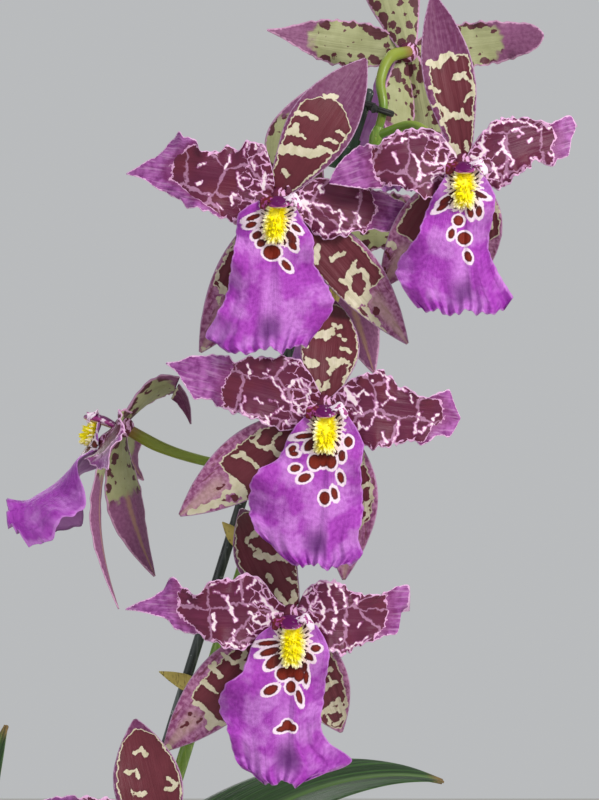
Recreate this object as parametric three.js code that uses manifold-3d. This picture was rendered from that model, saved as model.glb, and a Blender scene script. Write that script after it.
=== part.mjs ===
// A potted Aliceara orchid in bloom. A clay pot holds coarse bark, in which three pseudobulbs and a young shoot
// stand with their strap leaves. One flower spike leans to the right along a coated steel stake, is held to it by
// three clips and a wire tie, and carries eight open blooms.
//
// Millimetres, +Z up. The origin is the centre of the pot's underside, and the spike's full blooms face -Y.
import * as THREE from "three";
import { mergeVertices } from "three/addons/utils/BufferGeometryUtils.js";
import Module from "manifold-3d";

const wasm = await Module();
wasm.setup();

// Driving dimensions
const POT_HEIGHT = 130;
const POT_BASE_RADIUS = 49;
const POT_TOP_RADIUS = 74;
const POT_WALL = 6;
const POT_FLOOR = 9;
const RIM_HEIGHT = 27;
const RIM_STEP = 4;
const DRAIN_HOLES = 4;
const DRAIN_RADIUS = 6;
const DRAIN_CIRCLE = 28;

const BARK_LEVEL = 114;
const BARK_CHIPS = 30;
const CHIP_LENGTH = 25;

const STAKE_RADIUS = 1.9;
const STAKE_FOOT = new THREE.Vector3(-23.5, 0, 20);
const STAKE_TOP = new THREE.Vector3(168.6, 0, 638);
const SPIKE_GAP = 7.4; // between the axes of the stake and the spike
const SPIKE_FOOT_RADIUS = 3;
const SPIKE_TIP_RADIUS = 1.7;

const TEPAL_THICKNESS = 0.9;
const LIP_THICKNESS = 0.95;
const LEAF_THICKNESS = 1.1;
const CREST_GAP = 0.7;
const JOIN_GAP = 0.4; // left between two pieces that touch
const CORE_RADIUS = 4;

const vec = (x, y, z) => new THREE.Vector3(x, y, z);
const radians = THREE.MathUtils.degToRad;

// A repeatable random draw, from 0 to 1.
function makeRandom(seed) {
  let state = seed;
  return () => {
    state = (state * 1664525 + 1013904223) % 4294967296;
    return state / 4294967296;
  };
}

// A smooth line through [place, value] knots.
function through(knots, t) {
  let i = 0;
  while (i < knots.length - 2 && t > knots[i + 1][0]) i += 1;
  const slope = (k) => {
    const a = knots[Math.max(k - 1, 0)];
    const b = knots[Math.min(k + 1, knots.length - 1)];
    return (b[1] - a[1]) / (b[0] - a[0]);
  };
  const [x0, y0] = knots[i];
  const [x1, y1] = knots[i + 1];
  const step = x1 - x0;
  const s = THREE.MathUtils.clamp((t - x0) / step, 0, 1);
  const s2 = s * s;
  const s3 = s2 * s;
  return (
    y0 * (2 * s3 - 3 * s2 + 1) +
    slope(i) * step * (s3 - 2 * s2 + s) +
    y1 * (3 * s2 - 2 * s3) +
    slope(i + 1) * step * (s3 - s2)
  );
}

// Solids

function solidOf(geometry) {
  const bare = geometry.clone();
  for (const name of Object.keys(bare.attributes)) {
    if (name !== "position") bare.deleteAttribute(name);
  }
  const merged = mergeVertices(bare, 1e-4);
  return new wasm.Manifold(
    new wasm.Mesh({
      numProp: 3,
      vertProperties: merged.attributes.position.array,
      triVerts: new Uint32Array(merged.index.array),
    }),
  );
}

function geometryOf(solid) {
  const mesh = solid.getMesh();
  const position = new THREE.BufferAttribute(new Float32Array(mesh.vertProperties), 3);
  const geometry = new THREE.BufferGeometry();
  geometry.setAttribute("position", position);
  geometry.setIndex(new THREE.BufferAttribute(new Uint32Array(mesh.triVerts), 1));
  return geometry;
}

function joined(solids) {
  return solids.reduce((whole, piece) => whole.add(piece));
}

// The biggest body of a solid, without the scraps that a cut leaves loose.
function mainBody(solid) {
  return solid.decompose().reduce((a, b) => (a.volume() > b.volume() ? a : b));
}

// A closed skin over a grid of points with a front and a back: pointAt(row, column, side), side 1 or -1.
function sheetGeometry(rows, columns, pointAt) {
  const positions = [];
  const index = [];
  const at = (row, column, side) => (side > 0 ? 0 : (rows + 1) * (columns + 1)) + row * (columns + 1) + column;
  for (const side of [1, -1]) {
    for (let row = 0; row <= rows; row += 1) {
      for (let column = 0; column <= columns; column += 1) {
        positions.push(...pointAt(row, column, side).toArray());
      }
    }
  }
  for (let row = 0; row < rows; row += 1) {
    for (let column = 0; column < columns; column += 1) {
      const front = [
        [row, column],
        [row, column + 1],
        [row + 1, column + 1],
        [row + 1, column],
      ];
      const [a, b, c, d] = front.map(([r, k]) => at(r, k, 1));
      const [e, f, g, h] = front.map(([r, k]) => at(r, k, -1));
      index.push(a, b, c, a, c, d, e, g, f, e, h, g);
    }
  }
  const border = [];
  for (let column = 0; column < columns; column += 1) border.push([0, column]);
  for (let row = 0; row < rows; row += 1) border.push([row, columns]);
  for (let column = columns; column > 0; column -= 1) border.push([rows, column]);
  for (let row = rows; row > 0; row -= 1) border.push([row, 0]);
  border.forEach(([row, column], i) => {
    const [nextRow, nextColumn] = border[(i + 1) % border.length];
    const a = at(row, column, 1);
    const b = at(nextRow, nextColumn, 1);
    const c = at(nextRow, nextColumn, -1);
    const d = at(row, column, -1);
    index.push(a, c, b, a, d, c);
  });
  const geometry = new THREE.BufferGeometry();
  geometry.setAttribute("position", new THREE.BufferAttribute(new Float32Array(positions), 3));
  geometry.setIndex(index);
  return geometry;
}

// A round or flattened rod along a curve. radiusAt(t) gives [across, deep] about the curve.
function rodGeometry(curve, rings, sides, radiusAt, sideways = vec(0, 1, 0)) {
  const positions = [];
  const index = [];
  for (let ring = 0; ring <= rings; ring += 1) {
    const t = ring / rings;
    const centre = curve.getPoint(t);
    const along = curve.getTangent(t);
    const deep = sideways.clone().addScaledVector(along, -sideways.dot(along)).normalize();
    const across = deep.clone().cross(along);
    const [a, b] = radiusAt(t);
    for (let side = 0; side < sides; side += 1) {
      const turn = (2 * Math.PI * side) / sides;
      const point = centre.clone();
      point.addScaledVector(across, a * Math.cos(turn)).addScaledVector(deep, b * Math.sin(turn));
      positions.push(...point.toArray());
    }
  }
  positions.push(...curve.getPoint(0).toArray(), ...curve.getPoint(1).toArray());
  const first = (rings + 1) * sides;
  for (let side = 0; side < sides; side += 1) {
    const next = (side + 1) % sides;
    for (let ring = 0; ring < rings; ring += 1) {
      const low = ring * sides;
      const high = low + sides;
      index.push(low + side, low + next, high + next, low + side, high + next, high + side);
    }
    index.push(first, next, side, first + 1, rings * sides + side, rings * sides + next);
  }
  const geometry = new THREE.BufferGeometry();
  geometry.setAttribute("position", new THREE.BufferAttribute(new Float32Array(positions), 3));
  geometry.setIndex(index);
  return geometry;
}

const pathThrough = (points) => new THREE.CatmullRomCurve3(points, false, "centripetal");

function rod(points, rings, sides, radiusFrom, radiusTo) {
  const radiusAt = (t) => {
    const radius = THREE.MathUtils.lerp(radiusFrom, radiusTo, t);
    return [radius, radius];
  };
  return solidOf(rodGeometry(pathThrough(points), rings, sides, radiusAt));
}

// Blades: petals, sepals, lips and leaves

// A blade's middle line as a point, its heading and the way its upper face looks, at each t from 0 to 1.
function bentSpine({ base, bend, tip, face }) {
  const curve = new THREE.QuadraticBezierCurve3(base, bend, tip);
  return (t) => {
    const along = curve.getTangent(t);
    const up = face.clone().addScaledVector(along, -face.dot(along)).normalize();
    return { point: curve.getPoint(t), along, up };
  };
}

// A point on a blade: t runs from base to tip, u from -1 to 1 across, and lift stands off the middle of the blade.
function bladePoint(blade, t, u, lift) {
  const reach = blade.end ? t * blade.end(u) : t;
  const { point, along, up } = blade.spine(reach);
  const turn = (blade.roll ?? 0) + (blade.twist ?? 0) * t * t;
  const right = along.clone().cross(up);
  const across = right.clone().multiplyScalar(Math.cos(turn)).addScaledVector(up, Math.sin(turn));
  const out = up.clone().multiplyScalar(Math.cos(turn)).addScaledVector(right, -Math.sin(turn));
  let half = (blade.width / 2) * through(blade.outline, t);
  for (const [at, left, right] of blade.lobes ?? []) {
    half *= 1 + (u < 0 ? left : right) * Math.exp(-(((t - at) / 0.13) ** 2));
  }
  const wave = Math.sin(2 * Math.PI * (blade.waves ?? 0) * t + (blade.phase ?? 0) + (u < 0 ? 2 : 0));
  const swell = Math.sin(Math.PI * Math.min(1, t * 1.05 + 0.02)) ** 0.6;
  const hook = (blade.hook ?? 0) * Math.max(0, (t - 0.6) / 0.4) ** 2;
  const cup = THREE.MathUtils.lerp(blade.cup ?? 0, blade.tipCup ?? blade.cup ?? 0, t);
  const height =
    half * (cup * u * u + (blade.fold ?? 0) * Math.abs(u)) +
    (blade.wave ?? 0) * swell * wave * Math.abs(u) ** 2.2 +
    hook;
  const sway = (blade.sway ?? 0) * Math.sin(Math.PI * t);
  return point.clone().addScaledVector(across, half * u + sway).addScaledVector(out, height + lift);
}

function bladeSolid(blade, rows, columns, thickness) {
  const pointAt = (row, column, side) =>
    bladePoint(blade, row / rows, (2 * column) / columns - 1, (side * thickness) / 2);
  return solidOf(sheetGeometry(rows, columns, pointAt));
}

const PETAL_OUTLINE = [
  [0, 0.3],
  [0.12, 0.7],
  [0.3, 1],
  [0.5, 0.93],
  [0.66, 0.75],
  [0.78, 0.5],
  [0.89, 0.22],
  [1, 0.04],
];
const BLUNT_OUTLINE = [
  [0, 0.3],
  [0.12, 0.7],
  [0.3, 1],
  [0.6, 0.93],
  [0.85, 0.72],
  [1, 0.42],
];
const SEPAL_OUTLINE = [
  [0, 0.34],
  [0.15, 0.62],
  [0.4, 0.98],
  [0.6, 0.95],
  [0.8, 0.62],
  [0.93, 0.28],
  [1, 0.06],
];
const LIP_OUTLINE = [
  [0, 0.3],
  [0.1, 0.5],
  [0.28, 0.64],
  [0.38, 0.76],
  [0.48, 0.94],
  [0.7, 1],
  [0.88, 0.94],
  [1, 0.7],
];
const LEAF_OUTLINE = [
  [0, 0.3],
  [0.2, 0.62],
  [0.45, 0.96],
  [0.65, 0.98],
  [0.85, 0.66],
  [0.95, 0.32],
  [1, 0.06],
];

// Blooms

// Every tip is [right, up, front] from the bloom's centre, seen from its front: right and up lie in its face, and
// front points out of it. bow is how far the middle stands to the front of a straight line to the tip.
const PETAL = { width: 24, bow: 4, cup: 0.1, wave: 1.9, waves: 2.1, hook: 0, outline: PETAL_OUTLINE };
const SEPAL = { width: 21, bow: 4, cup: 0.16, wave: 0.5, waves: 1.4, hook: 0, outline: SEPAL_OUTLINE };
const LIP = { width: 38, cup: 0.1, tipCup: -0.34, wave: 2.2, waves: 2.3, phase: 0.6, outline: LIP_OUTLINE };
const LIP_ROOT_UP = -2.8;
const LIP_ROOT_FRONT = 6.4;
const CREST = { from: 0.04, to: 0.28, width: 0.42, height: 3.6, teeth: 0.45 };
const COLUMN = { root: [0, 0.5, 1], bend: [0, 3.2, 8], tip: [0, 2.6, 14], radius: 2.9 };

const BLOOMS = {
  a: {
    centre: vec(183, 22, 653.4),
    yaw: 180,
    dorsal: { tip: [14, 54, -6], width: 21 },
    petal_right: { tip: [52, 8, -4], width: 17.5, phase: 1 },
    petal_left: { tip: [-50, 6, -4], width: 17, phase: 3, outline: BLUNT_OUTLINE },
    sepal_right: { tip: [5, -40, -22], width: 15, roll: 0.6 },
    sepal_left: { tip: [-9, -46, -8], width: 15, roll: -0.4 },
    lip: { tip: [0, -50, 14] },
  },
  b: {
    centre: vec(200.2, -40, 608),
    yaw: 0,
    dorsal: { tip: [-10.5, 60, -4], width: 18, bow: 5 },
    petal_right: { tip: [35.5, 15, -12], width: 19.5, phase: 2.2, hook: 3, outline: BLUNT_OUTLINE },
    petal_left: { tip: [-46, -7, 1], width: 22, phase: 0.4, bow: 5, sway: 2, hook: 2 },
    sepal_right: { tip: [9, -38, -28], width: 18 },
    sepal_left: { tip: [-28, -43, -20], width: 18 },
    lip: { tip: [0, -52, 12], width: 34, lobes: [[0.6, -0.38, 0.24], [0.92, 0.3, -0.05]] },
  },
  c: {
    centre: vec(135.8, -40, 596),
    yaw: 0,
    dorsal: { tip: [30.5, 49, -6], width: 23, bow: 6 },
    petal_right: { tip: [51, -6.5, -16], width: 19, phase: 1.6, bow: 0 },
    petal_left: { tip: [-52, 8.4, -4], width: 26, phase: 0.2, lobes: [[0.68, 0.05, 0.2]] },
    sepal_right: { tip: [45.5, -51, -14], width: 19, sway: -2 },
    sepal_left: { tip: [-28, -54, -16], width: 20, sway: -2 },
    lip: { root: 0, tip: [-3, -53, 11], bend: [-4.5, -29, 5], width: 39, phase: 1.4, lobes: [[0.5, -0.05, -0.25], [0.93, -0.2, 0.3]] },
  },
  d: {
    centre: vec(151.7, -42, 523.3),
    yaw: 0,
    dorsal: { tip: [4, 37, -24], width: 20.5, bow: 7 },
    petal_right: { tip: [40.5, -3, -12], width: 25, phase: 2.6, hook: 3, bow: 6, outline: BLUNT_OUTLINE },
    petal_left: { tip: [-53, 14.6, -4], width: 24, phase: 0.8, lobes: [[0.72, -0.1, 0.15]] },
    sepal_right: { tip: [7, -62, -16], width: 21, sway: -4, bow: 3 },
    sepal_left: { tip: [-51, -39, -12], width: 22, bow: 3 },
    lip: { root: 1, tip: [-3, -55, 13], width: 38, lobes: [[0.5, -0.1, 0.28], [0.8, -0.05, 0.1]] },
  },
  e: {
    centre: vec(140, -40, 450),
    yaw: 0,
    dorsal: { tip: [-18, 36, -24], width: 20.5, bow: 7 },
    petal_right: { tip: [33.5, 2, -13], width: 25, phase: 2.9, hook: 4, bow: 7, outline: BLUNT_OUTLINE },
    petal_left: { tip: [-56, 2, -2], width: 26, phase: 1.1, lobes: [[0.72, -0.1, 0.35]] },
    sepal_right: { tip: [18, -44, -26], width: 20, bow: 5 },
    sepal_left: { tip: [-45, -49, -12], width: 22, bow: 3 },
    lip: {
      tip: [-2, -57, 13],
      width: 40,
      phase: 1.9,
      root: 1,
      lobes: [[0.5, -0.25, 0.15], [0.76, 0.34, 0], [0.97, -0.3, 0]],
    },
  },
  f: {
    centre: vec(78.2, -5, 516),
    yaw: -90,
    pitch: 30,
    dorsal: { tip: [0, 13, -22], width: 17, bow: 2.8, lift: 13.2, roll: 0.45 },
    petal_right: { tip: [43, -14, -6], width: 21, phase: 0.5, bow: 2, roll: 0.15 },
    petal_left: { tip: [-42, -15, -16], width: 22, phase: 2 },
    sepal_right: { tip: [10, -57, -33], width: 17, bow: 9, roll: -0.2 },
    sepal_left: { tip: [-13, -42, -38], width: 19, bow: 5, roll: -0.5 },
    lip: { tip: [0, -45, 21], bend: [0, -31, 4], width: 40, tipCup: -1.1, lobes: [[0.2, -0.25, -0.25]] },
  },
  g: {
    centre: vec(95.2, -38, 366.8),
    yaw: 0,
    dorsal: { tip: [-10.5, 45, -12], width: 24, bow: 7 },
    petal_right: { tip: [50, -8, -8], width: 24, phase: 2.4 },
    petal_left: { tip: [-53, 16, -2], width: 25, phase: 0.6, lobes: [[0.7, 0, 0.15]] },
    sepal_right: { tip: [31, -50, -14], width: 21 },
    sepal_left: { tip: [-38, -46, -14], width: 21 },
    lip: { tip: [2, -56, 13], width: 39, phase: 1, lobes: [[0.9, 0.1, -0.1]] },
  },
  h: {
    centre: vec(152.5, 32, 590),
    yaw: 180,
    dorsal: { tip: [-5, 57, -4], width: 22, sway: 14 },
    petal_right: { tip: [46, 12, -4], width: 22, phase: 1.2 },
    petal_left: { tip: [-46, 4, -6], width: 22, phase: 2.8 },
    sepal_right: { tip: [18, -44, -12], width: 19 },
    sepal_left: { tip: [-18, -55, -14], width: 18 },
    lip: { tip: [0, -51, 13], width: 37 },
  },
};
const TEPALS = ["dorsal", "petal_right", "petal_left", "sepal_right", "sepal_left"];
const ROOTS = {
  dorsal: [0, 2.2, -1],
  petal_right: [2.2, 1, 0.6],
  petal_left: [-2.2, 1, 0.6],
  sepal_right: [1.6, -1.6, -1.4],
  sepal_left: [-1.6, -1.6, -1.4],
};

// A bloom's own axes: right, up in its face, and front.
function bloomAxes({ yaw = 0, pitch = 0 }) {
  const turn = new THREE.Matrix4().makeRotationZ(radians(yaw));
  const tilt = new THREE.Matrix4().makeRotationX(radians(-pitch));
  turn.multiply(tilt);
  return {
    right: vec(1, 0, 0).transformDirection(turn),
    up: vec(0, 0, 1).transformDirection(turn),
    front: vec(0, -1, 0).transformDirection(turn),
  };
}

function placer(bloom) {
  const { right, up, front } = bloomAxes(bloom);
  return ([r, u, f]) =>
    bloom.centre.clone().addScaledVector(right, r).addScaledVector(up, u).addScaledVector(front, f);
}

function tepalBlade(bloom, name) {
  const kind = name.startsWith("petal") ? PETAL : SEPAL;
  const shape = { ...kind, ...bloom[name] };
  const place = placer(bloom);
  const root = ROOTS[name];
  const middle = [0, 1, 2].map((k) => (root[k] + shape.tip[k]) / 2);
  middle[2] += 2 * shape.bow;
  middle[1] += 2 * (shape.lift ?? 0);
  return {
    ...shape,
    spine: bentSpine({
      base: place(root),
      bend: place(middle),
      tip: place(shape.tip),
      face: bloomAxes(bloom).front,
    }),
  };
}

// The lip hangs from its narrow root, then swings forward into a broad apron with a notch in its end.
function lipBlade(bloom) {
  const shape = { ...LIP, ...bloom.lip };
  const place = placer(bloom);
  const [r, u, f] = shape.tip;
  return {
    ...shape,
    end: (across) => 1 - 0.16 * across ** 4 - 0.05 * Math.exp(-((across / 0.16) ** 2)),
    spine: bentSpine({
      base: place([shape.root ?? 0, LIP_ROOT_UP, LIP_ROOT_FRONT]),
      bend: place(shape.bend ?? [r * 0.4, u * 0.55, f * 0.25 + 3]),
      tip: place([r, u, f]),
      face: bloomAxes(bloom).front,
    }),
  };
}

// The yellow crest stands on the lip's root as a low pad of blunt teeth.
function crestSolid(bloom) {
  const lip = lipBlade(bloom);
  const rows = 5;
  const columns = 4;
  const pointAt = (row, column, side) => {
    const t = THREE.MathUtils.lerp(CREST.from, CREST.to, row / rows);
    const across = (2 * column) / columns - 1;
    const narrow = CREST.width * (0.55 + 0.45 * Math.sin((Math.PI * (row + 1)) / (rows + 1)));
    const tooth = (row + column) % 2 ? CREST.teeth : 1;
    const rise = 0.6 + CREST.height * tooth * (1 - 0.75 * across * across) * Math.sin((Math.PI * (row + 0.8)) / (rows + 1));
    const lift = LIP_THICKNESS / 2 + CREST_GAP + (side > 0 ? rise : 0);
    return bladePoint(lip, t, across * narrow, lift);
  };
  return solidOf(sheetGeometry(rows, columns, pointAt));
}

function columnSolid(bloom) {
  const place = placer(bloom);
  const curve = new THREE.QuadraticBezierCurve3(place(COLUMN.root), place(COLUMN.bend), place(COLUMN.tip));
  const radiusAt = (t) => {
    const swell = COLUMN.radius * (0.75 + 0.35 * Math.sin(Math.PI * Math.min(1, t * 1.1)));
    return [swell * 0.8, swell * (t > 0.9 ? 0.7 : 1)];
  };
  return solidOf(rodGeometry(curve, 4, 6, radiusAt, bloomAxes(bloom).right));
}

function tepalsSolid(bloom) {
  const core = new THREE.SphereGeometry(CORE_RADIUS, 6, 4);
  core.applyMatrix4(new THREE.Matrix4().setPosition(bloom.centre));
  const blades = TEPALS.map((name) => {
    const rows = name.startsWith("petal") ? 6 : 5;
    const columns = name.startsWith("petal") ? 4 : 3;
    return bladeSolid(tepalBlade(bloom, name), rows, columns, TEPAL_THICKNESS);
  });
  return joined([solidOf(core), columnSolid(bloom), ...blades]);
}

// The spike and what holds it

const stakeWay = STAKE_TOP.clone().sub(STAKE_FOOT).normalize();

function stakeAt(height) {
  const share = (height - STAKE_FOOT.z) / (STAKE_TOP.z - STAKE_FOOT.z);
  return STAKE_FOOT.clone().lerp(STAKE_TOP, share);
}

const spikeAcross = vec(stakeWay.z, 0, -stakeWay.x);

function spikeAt(height) {
  const share = (height - SPIKE_GAP * spikeAcross.z) / stakeWay.z;
  const across = spikeAcross.x * SPIKE_GAP;
  return vec(0, 0, height).setX(STAKE_FOOT.x + across + (share - STAKE_FOOT.z / stakeWay.z) * stakeWay.x);
}

const SPIKE_TIP_HEIGHT = 624;
const SPIKE_FOOT_HEIGHT = 102;

// Each flower stalk leaves the spike at a height and passes through points on its way to the back of its bloom.
const STALKS = {
  a: { from: 620, by: [vec(173.4, 0, 631), vec(172.5, 3, 641), vec(176, 8, 650)] },
  b: { from: 621, by: [vec(183, -8, 624), vec(192, -22, 617)] },
  c: { from: 573, by: [vec(150, -8, 583), vec(141, -22, 593)] },
  d: { from: 503, by: [vec(139.5, -10, 512), vec(147, -25, 521)] },
  e: { from: 424, by: [vec(121, -8, 436), vec(134, -22, 447)] },
  f: { from: 500, by: [vec(126, -6.5, 500.5), vec(109, -8, 503), vec(93, -7, 508)] },
  g: { from: 346, by: [vec(89.5, -8, 355), vec(93.5, -22, 364)] },
  h: { from: 560, by: [vec(152, 8, 572), vec(152.5, 18, 586)] },
};
const STALK_ROOT_RADIUS = 1.5;
const STALK_END_RADIUS = 2.1;

// Dry or green scales where a stalk leaves the spike, and at the bare joints below the blooms.
const BRACTS = [
  { from: 419, by: [-4, -5.4, 3], tip: [-16, -6, 8], width: 6 },
  { from: 470, by: [-3, -5.2, 4], tip: [-9, -6, 11], width: 6 },
  { from: 342, by: [3, 3, 4], tip: [5, 4, 13], width: 6 },
  { from: 270, by: [3, -2, 6], tip: [6, -3, 19], width: 7 },
  { from: 200, by: [3, 2, 7], tip: [6, 3, 21], width: 8 },
  { from: 556, by: [3, -2, 4], tip: [8, -2, 12], width: 6 },
];

function stalkSolid(name) {
  const { from, by } = STALKS[name];
  const end = placer(BLOOMS[name])([0, 0, -CORE_RADIUS - 1.4]);
  return rod([spikeAt(from), ...by, end], 6, 5, STALK_ROOT_RADIUS, STALK_END_RADIUS);
}

function bractSolid({ from, by, tip, width }) {
  const root = spikeAt(from);
  const bend = root.clone().add(vec(...by));
  const end = root.clone().add(vec(...tip));
  const outward = vec(by[0] * 0.3, by[1], 0).normalize();
  const blade = {
    spine: bentSpine({ base: root, bend, tip: end, face: outward.negate() }),
    width,
    cup: 0.3,
    outline: SEPAL_OUTLINE,
  };
  return bladeSolid(blade, 3, 2, 0.8);
}

function spikeSolid() {
  const heights = [];
  for (let height = SPIKE_FOOT_HEIGHT; height < SPIKE_TIP_HEIGHT - 10; height += 35) heights.push(height);
  heights.push(SPIKE_TIP_HEIGHT);
  const points = heights.map((height, i) => spikeAt(height).add(vec(0, 0.25 * Math.sin(i * 2.1), 0)));
  const stem = rod(points, 15, 6, SPIKE_FOOT_RADIUS, SPIKE_TIP_RADIUS);
  return mainBody(joined([stem, ...Object.keys(STALKS).map(stalkSolid), ...BRACTS.map(bractSolid)]));
}

function stakeSolid() {
  const length = STAKE_TOP.distanceTo(STAKE_FOOT);
  const profile = [
    [0, 0],
    [STAKE_RADIUS, 9],
    [STAKE_RADIUS, length - 1.2],
    [STAKE_RADIUS * 0.6, length],
    [0, length],
  ].map(([r, h]) => new THREE.Vector2(r, h));
  const geometry = new THREE.LatheGeometry(profile, 12);
  const turn = new THREE.Quaternion().setFromUnitVectors(vec(0, 1, 0), stakeWay);
  geometry.applyQuaternion(turn);
  geometry.translate(...STAKE_FOOT.toArray());
  return solidOf(geometry);
}

// Turns a solid drawn standing at the origin, with +X towards the spike, to stand round the stake at a height.
function onStake(geometry, height) {
  const basis = new THREE.Matrix4().makeBasis(spikeAcross, vec(0, 1, 0), stakeWay);
  geometry.applyMatrix4(basis);
  geometry.translate(...stakeAt(height).toArray());
  return solidOf(geometry);
}

function discGeometry(radius, height, x, sides) {
  const geometry = new THREE.CylinderGeometry(radius, radius, height, sides);
  geometry.rotateX(Math.PI / 2);
  geometry.translate(x, 0, 0);
  return geometry;
}

const CLIP_HEIGHT = 8;
const CLIP_WALL = 1.4;
const CLIPS = { clip_upper: 612, clip_middle: 521, clip_lower: 306 };
const TIE_HEIGHT = 632;

// A sprung clip has one eye round the stake and one round the spike, and two finger tabs that open it.
function clipSolid(height) {
  const spikeEye = SPIKE_FOOT_RADIUS + JOIN_GAP + 0.3;
  const stakeEye = STAKE_RADIUS + JOIN_GAP + 0.2;
  const tab = (turn) => {
    const geometry = new THREE.BoxGeometry(15, 1.5, CLIP_HEIGHT);
    geometry.translate(-9.5, 0, 0);
    geometry.rotateZ(turn);
    return onStake(geometry, height);
  };
  const body = joined([
    onStake(discGeometry(stakeEye + CLIP_WALL, CLIP_HEIGHT, 0, 8), height),
    onStake(discGeometry(spikeEye + CLIP_WALL, CLIP_HEIGHT, SPIKE_GAP, 8), height),
    tab(radians(24)),
    tab(radians(-24)),
  ]);
  const holes = joined([
    onStake(discGeometry(stakeEye, CLIP_HEIGHT * 2, 0, 6), height),
    onStake(discGeometry(spikeEye, CLIP_HEIGHT * 2, SPIKE_GAP, 6), height),
  ]);
  return body.subtract(holes);
}

// A black wire tie is wound once round the spike's tip and the top of the stake.
function tieSolid() {
  const outer = new THREE.Shape();
  const left = STAKE_RADIUS + JOIN_GAP + 1.6;
  outer.absarc(0, 0, left, Math.PI / 2, (3 * Math.PI) / 2);
  outer.absarc(SPIKE_GAP, 0, left, -Math.PI / 2, Math.PI / 2);
  const inner = new THREE.Path();
  inner.absarc(0, 0, left - 1.6, Math.PI / 2, (3 * Math.PI) / 2);
  inner.absarc(SPIKE_GAP, 0, left - 1.6, -Math.PI / 2, Math.PI / 2);
  outer.holes.push(inner);
  const geometry = new THREE.ExtrudeGeometry(outer, { depth: 1.8, bevelEnabled: false, curveSegments: 4 });
  return onStake(geometry, TIE_HEIGHT);
}

// Leaves and pseudobulbs

// A leaf's middle line starts at a slope and bends over faster and faster towards its tip.
function archedSpine({ base, heading, rise, arch, haste, length }) {
  const out = vec(Math.cos(radians(heading)), Math.sin(radians(heading)), 0);
  const steps = 40;
  const slopeAt = (t) => radians(rise - arch * t ** haste);
  const points = [base.clone()];
  for (let i = 0; i < steps; i += 1) {
    const slope = slopeAt((i + 0.5) / steps);
    const stride = out.clone().multiplyScalar(Math.cos(slope)).add(vec(0, 0, Math.sin(slope)));
    points.push(points[i].clone().addScaledVector(stride, length / steps));
  }
  return (t) => {
    const place = Math.min(t, 0.99999) * steps;
    const i = Math.floor(place);
    const slope = slopeAt(t);
    return {
      point: points[i].clone().lerp(points[i + 1], place - i),
      along: out.clone().multiplyScalar(Math.cos(slope)).add(vec(0, 0, Math.sin(slope))),
      up: out.clone().multiplyScalar(-Math.sin(slope)).add(vec(0, 0, Math.cos(slope))),
    };
  };
}

// heading turns from +X towards +Y, in degrees; rise is the slope at the root; arch is how far the leaf bends over.
const LEAVES = {
  leaf_bulb_right: { base: vec(-12, 2, 193.4), heading: 23, rise: 58, arch: 72, haste: 2.6, length: 313, width: 42, roll: -0.4 },
  leaf_bulb_left: { base: vec(-22.5, -2, 193.4), heading: 165, rise: 74, arch: 96, haste: 1.8, length: 330, width: 38 },
  leaf_sheath_front: { base: vec(-24, -18, 122), heading: 236, rise: 66, arch: 100, haste: 1.6, length: 285, width: 34 },
  leaf_sheath_left: { base: vec(-42, 4, 122), heading: 186, rise: 66, arch: 104, haste: 1.7, length: 270, width: 33 },
  leaf_back_right: { base: vec(16, 37, 185), heading: 52, rise: 66, arch: 92, haste: 1.9, length: 285, width: 36 },
  leaf_back_left: { base: vec(4, 36, 185), heading: 128, rise: 72, arch: 100, haste: 1.7, length: 310, width: 36 },
  leaf_old_left: { base: vec(-31, 31, 171), heading: 148, rise: 60, arch: 96, haste: 1.5, length: 250, width: 33 },
  leaf_shoot_tall: { base: vec(9, -34, 122), heading: 49, rise: 87, arch: 22, haste: 3, length: 290, width: 30 },
  leaf_shoot_front: { base: vec(4, -42, 120), heading: -78, rise: 74, arch: 92, haste: 1.9, length: 220, width: 30 },
  leaf_shoot_right: { base: vec(18, -36, 124), heading: -22, rise: 68, arch: 84, haste: 1.8, length: 200, width: 29 },
};
const LEAF = { fold: 0.34, cup: -0.1, outline: LEAF_OUTLINE };

function leafSolid(name) {
  const shape = { ...LEAF, ...LEAVES[name] };
  return bladeSolid({ ...shape, spine: archedSpine(shape) }, 9, 4, LEAF_THICKNESS);
}

// Pseudobulbs are flattened eggs with shallow ribs. Each narrows to a blunt top that its leaves grow from.
const BULBS = {
  pseudobulb_front: { x: -18, y: -2, foot: 104, height: 88, across: 17, deep: 11, turn: 12 },
  pseudobulb_back: { x: 10, y: 34, foot: 104, height: 80, across: 16, deep: 10.5, turn: -14 },
  pseudobulb_old: { x: -30, y: 30, foot: 104, height: 66, across: 14.5, deep: 9.5, turn: 24 },
};
const BULB_OUTLINE = [
  [0, 0.62],
  [0.3, 0.96],
  [0.5, 1],
  [0.8, 0.68],
  [0.93, 0.4],
  [1, 0.26],
];
const BULB_RIBS = 7;

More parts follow.
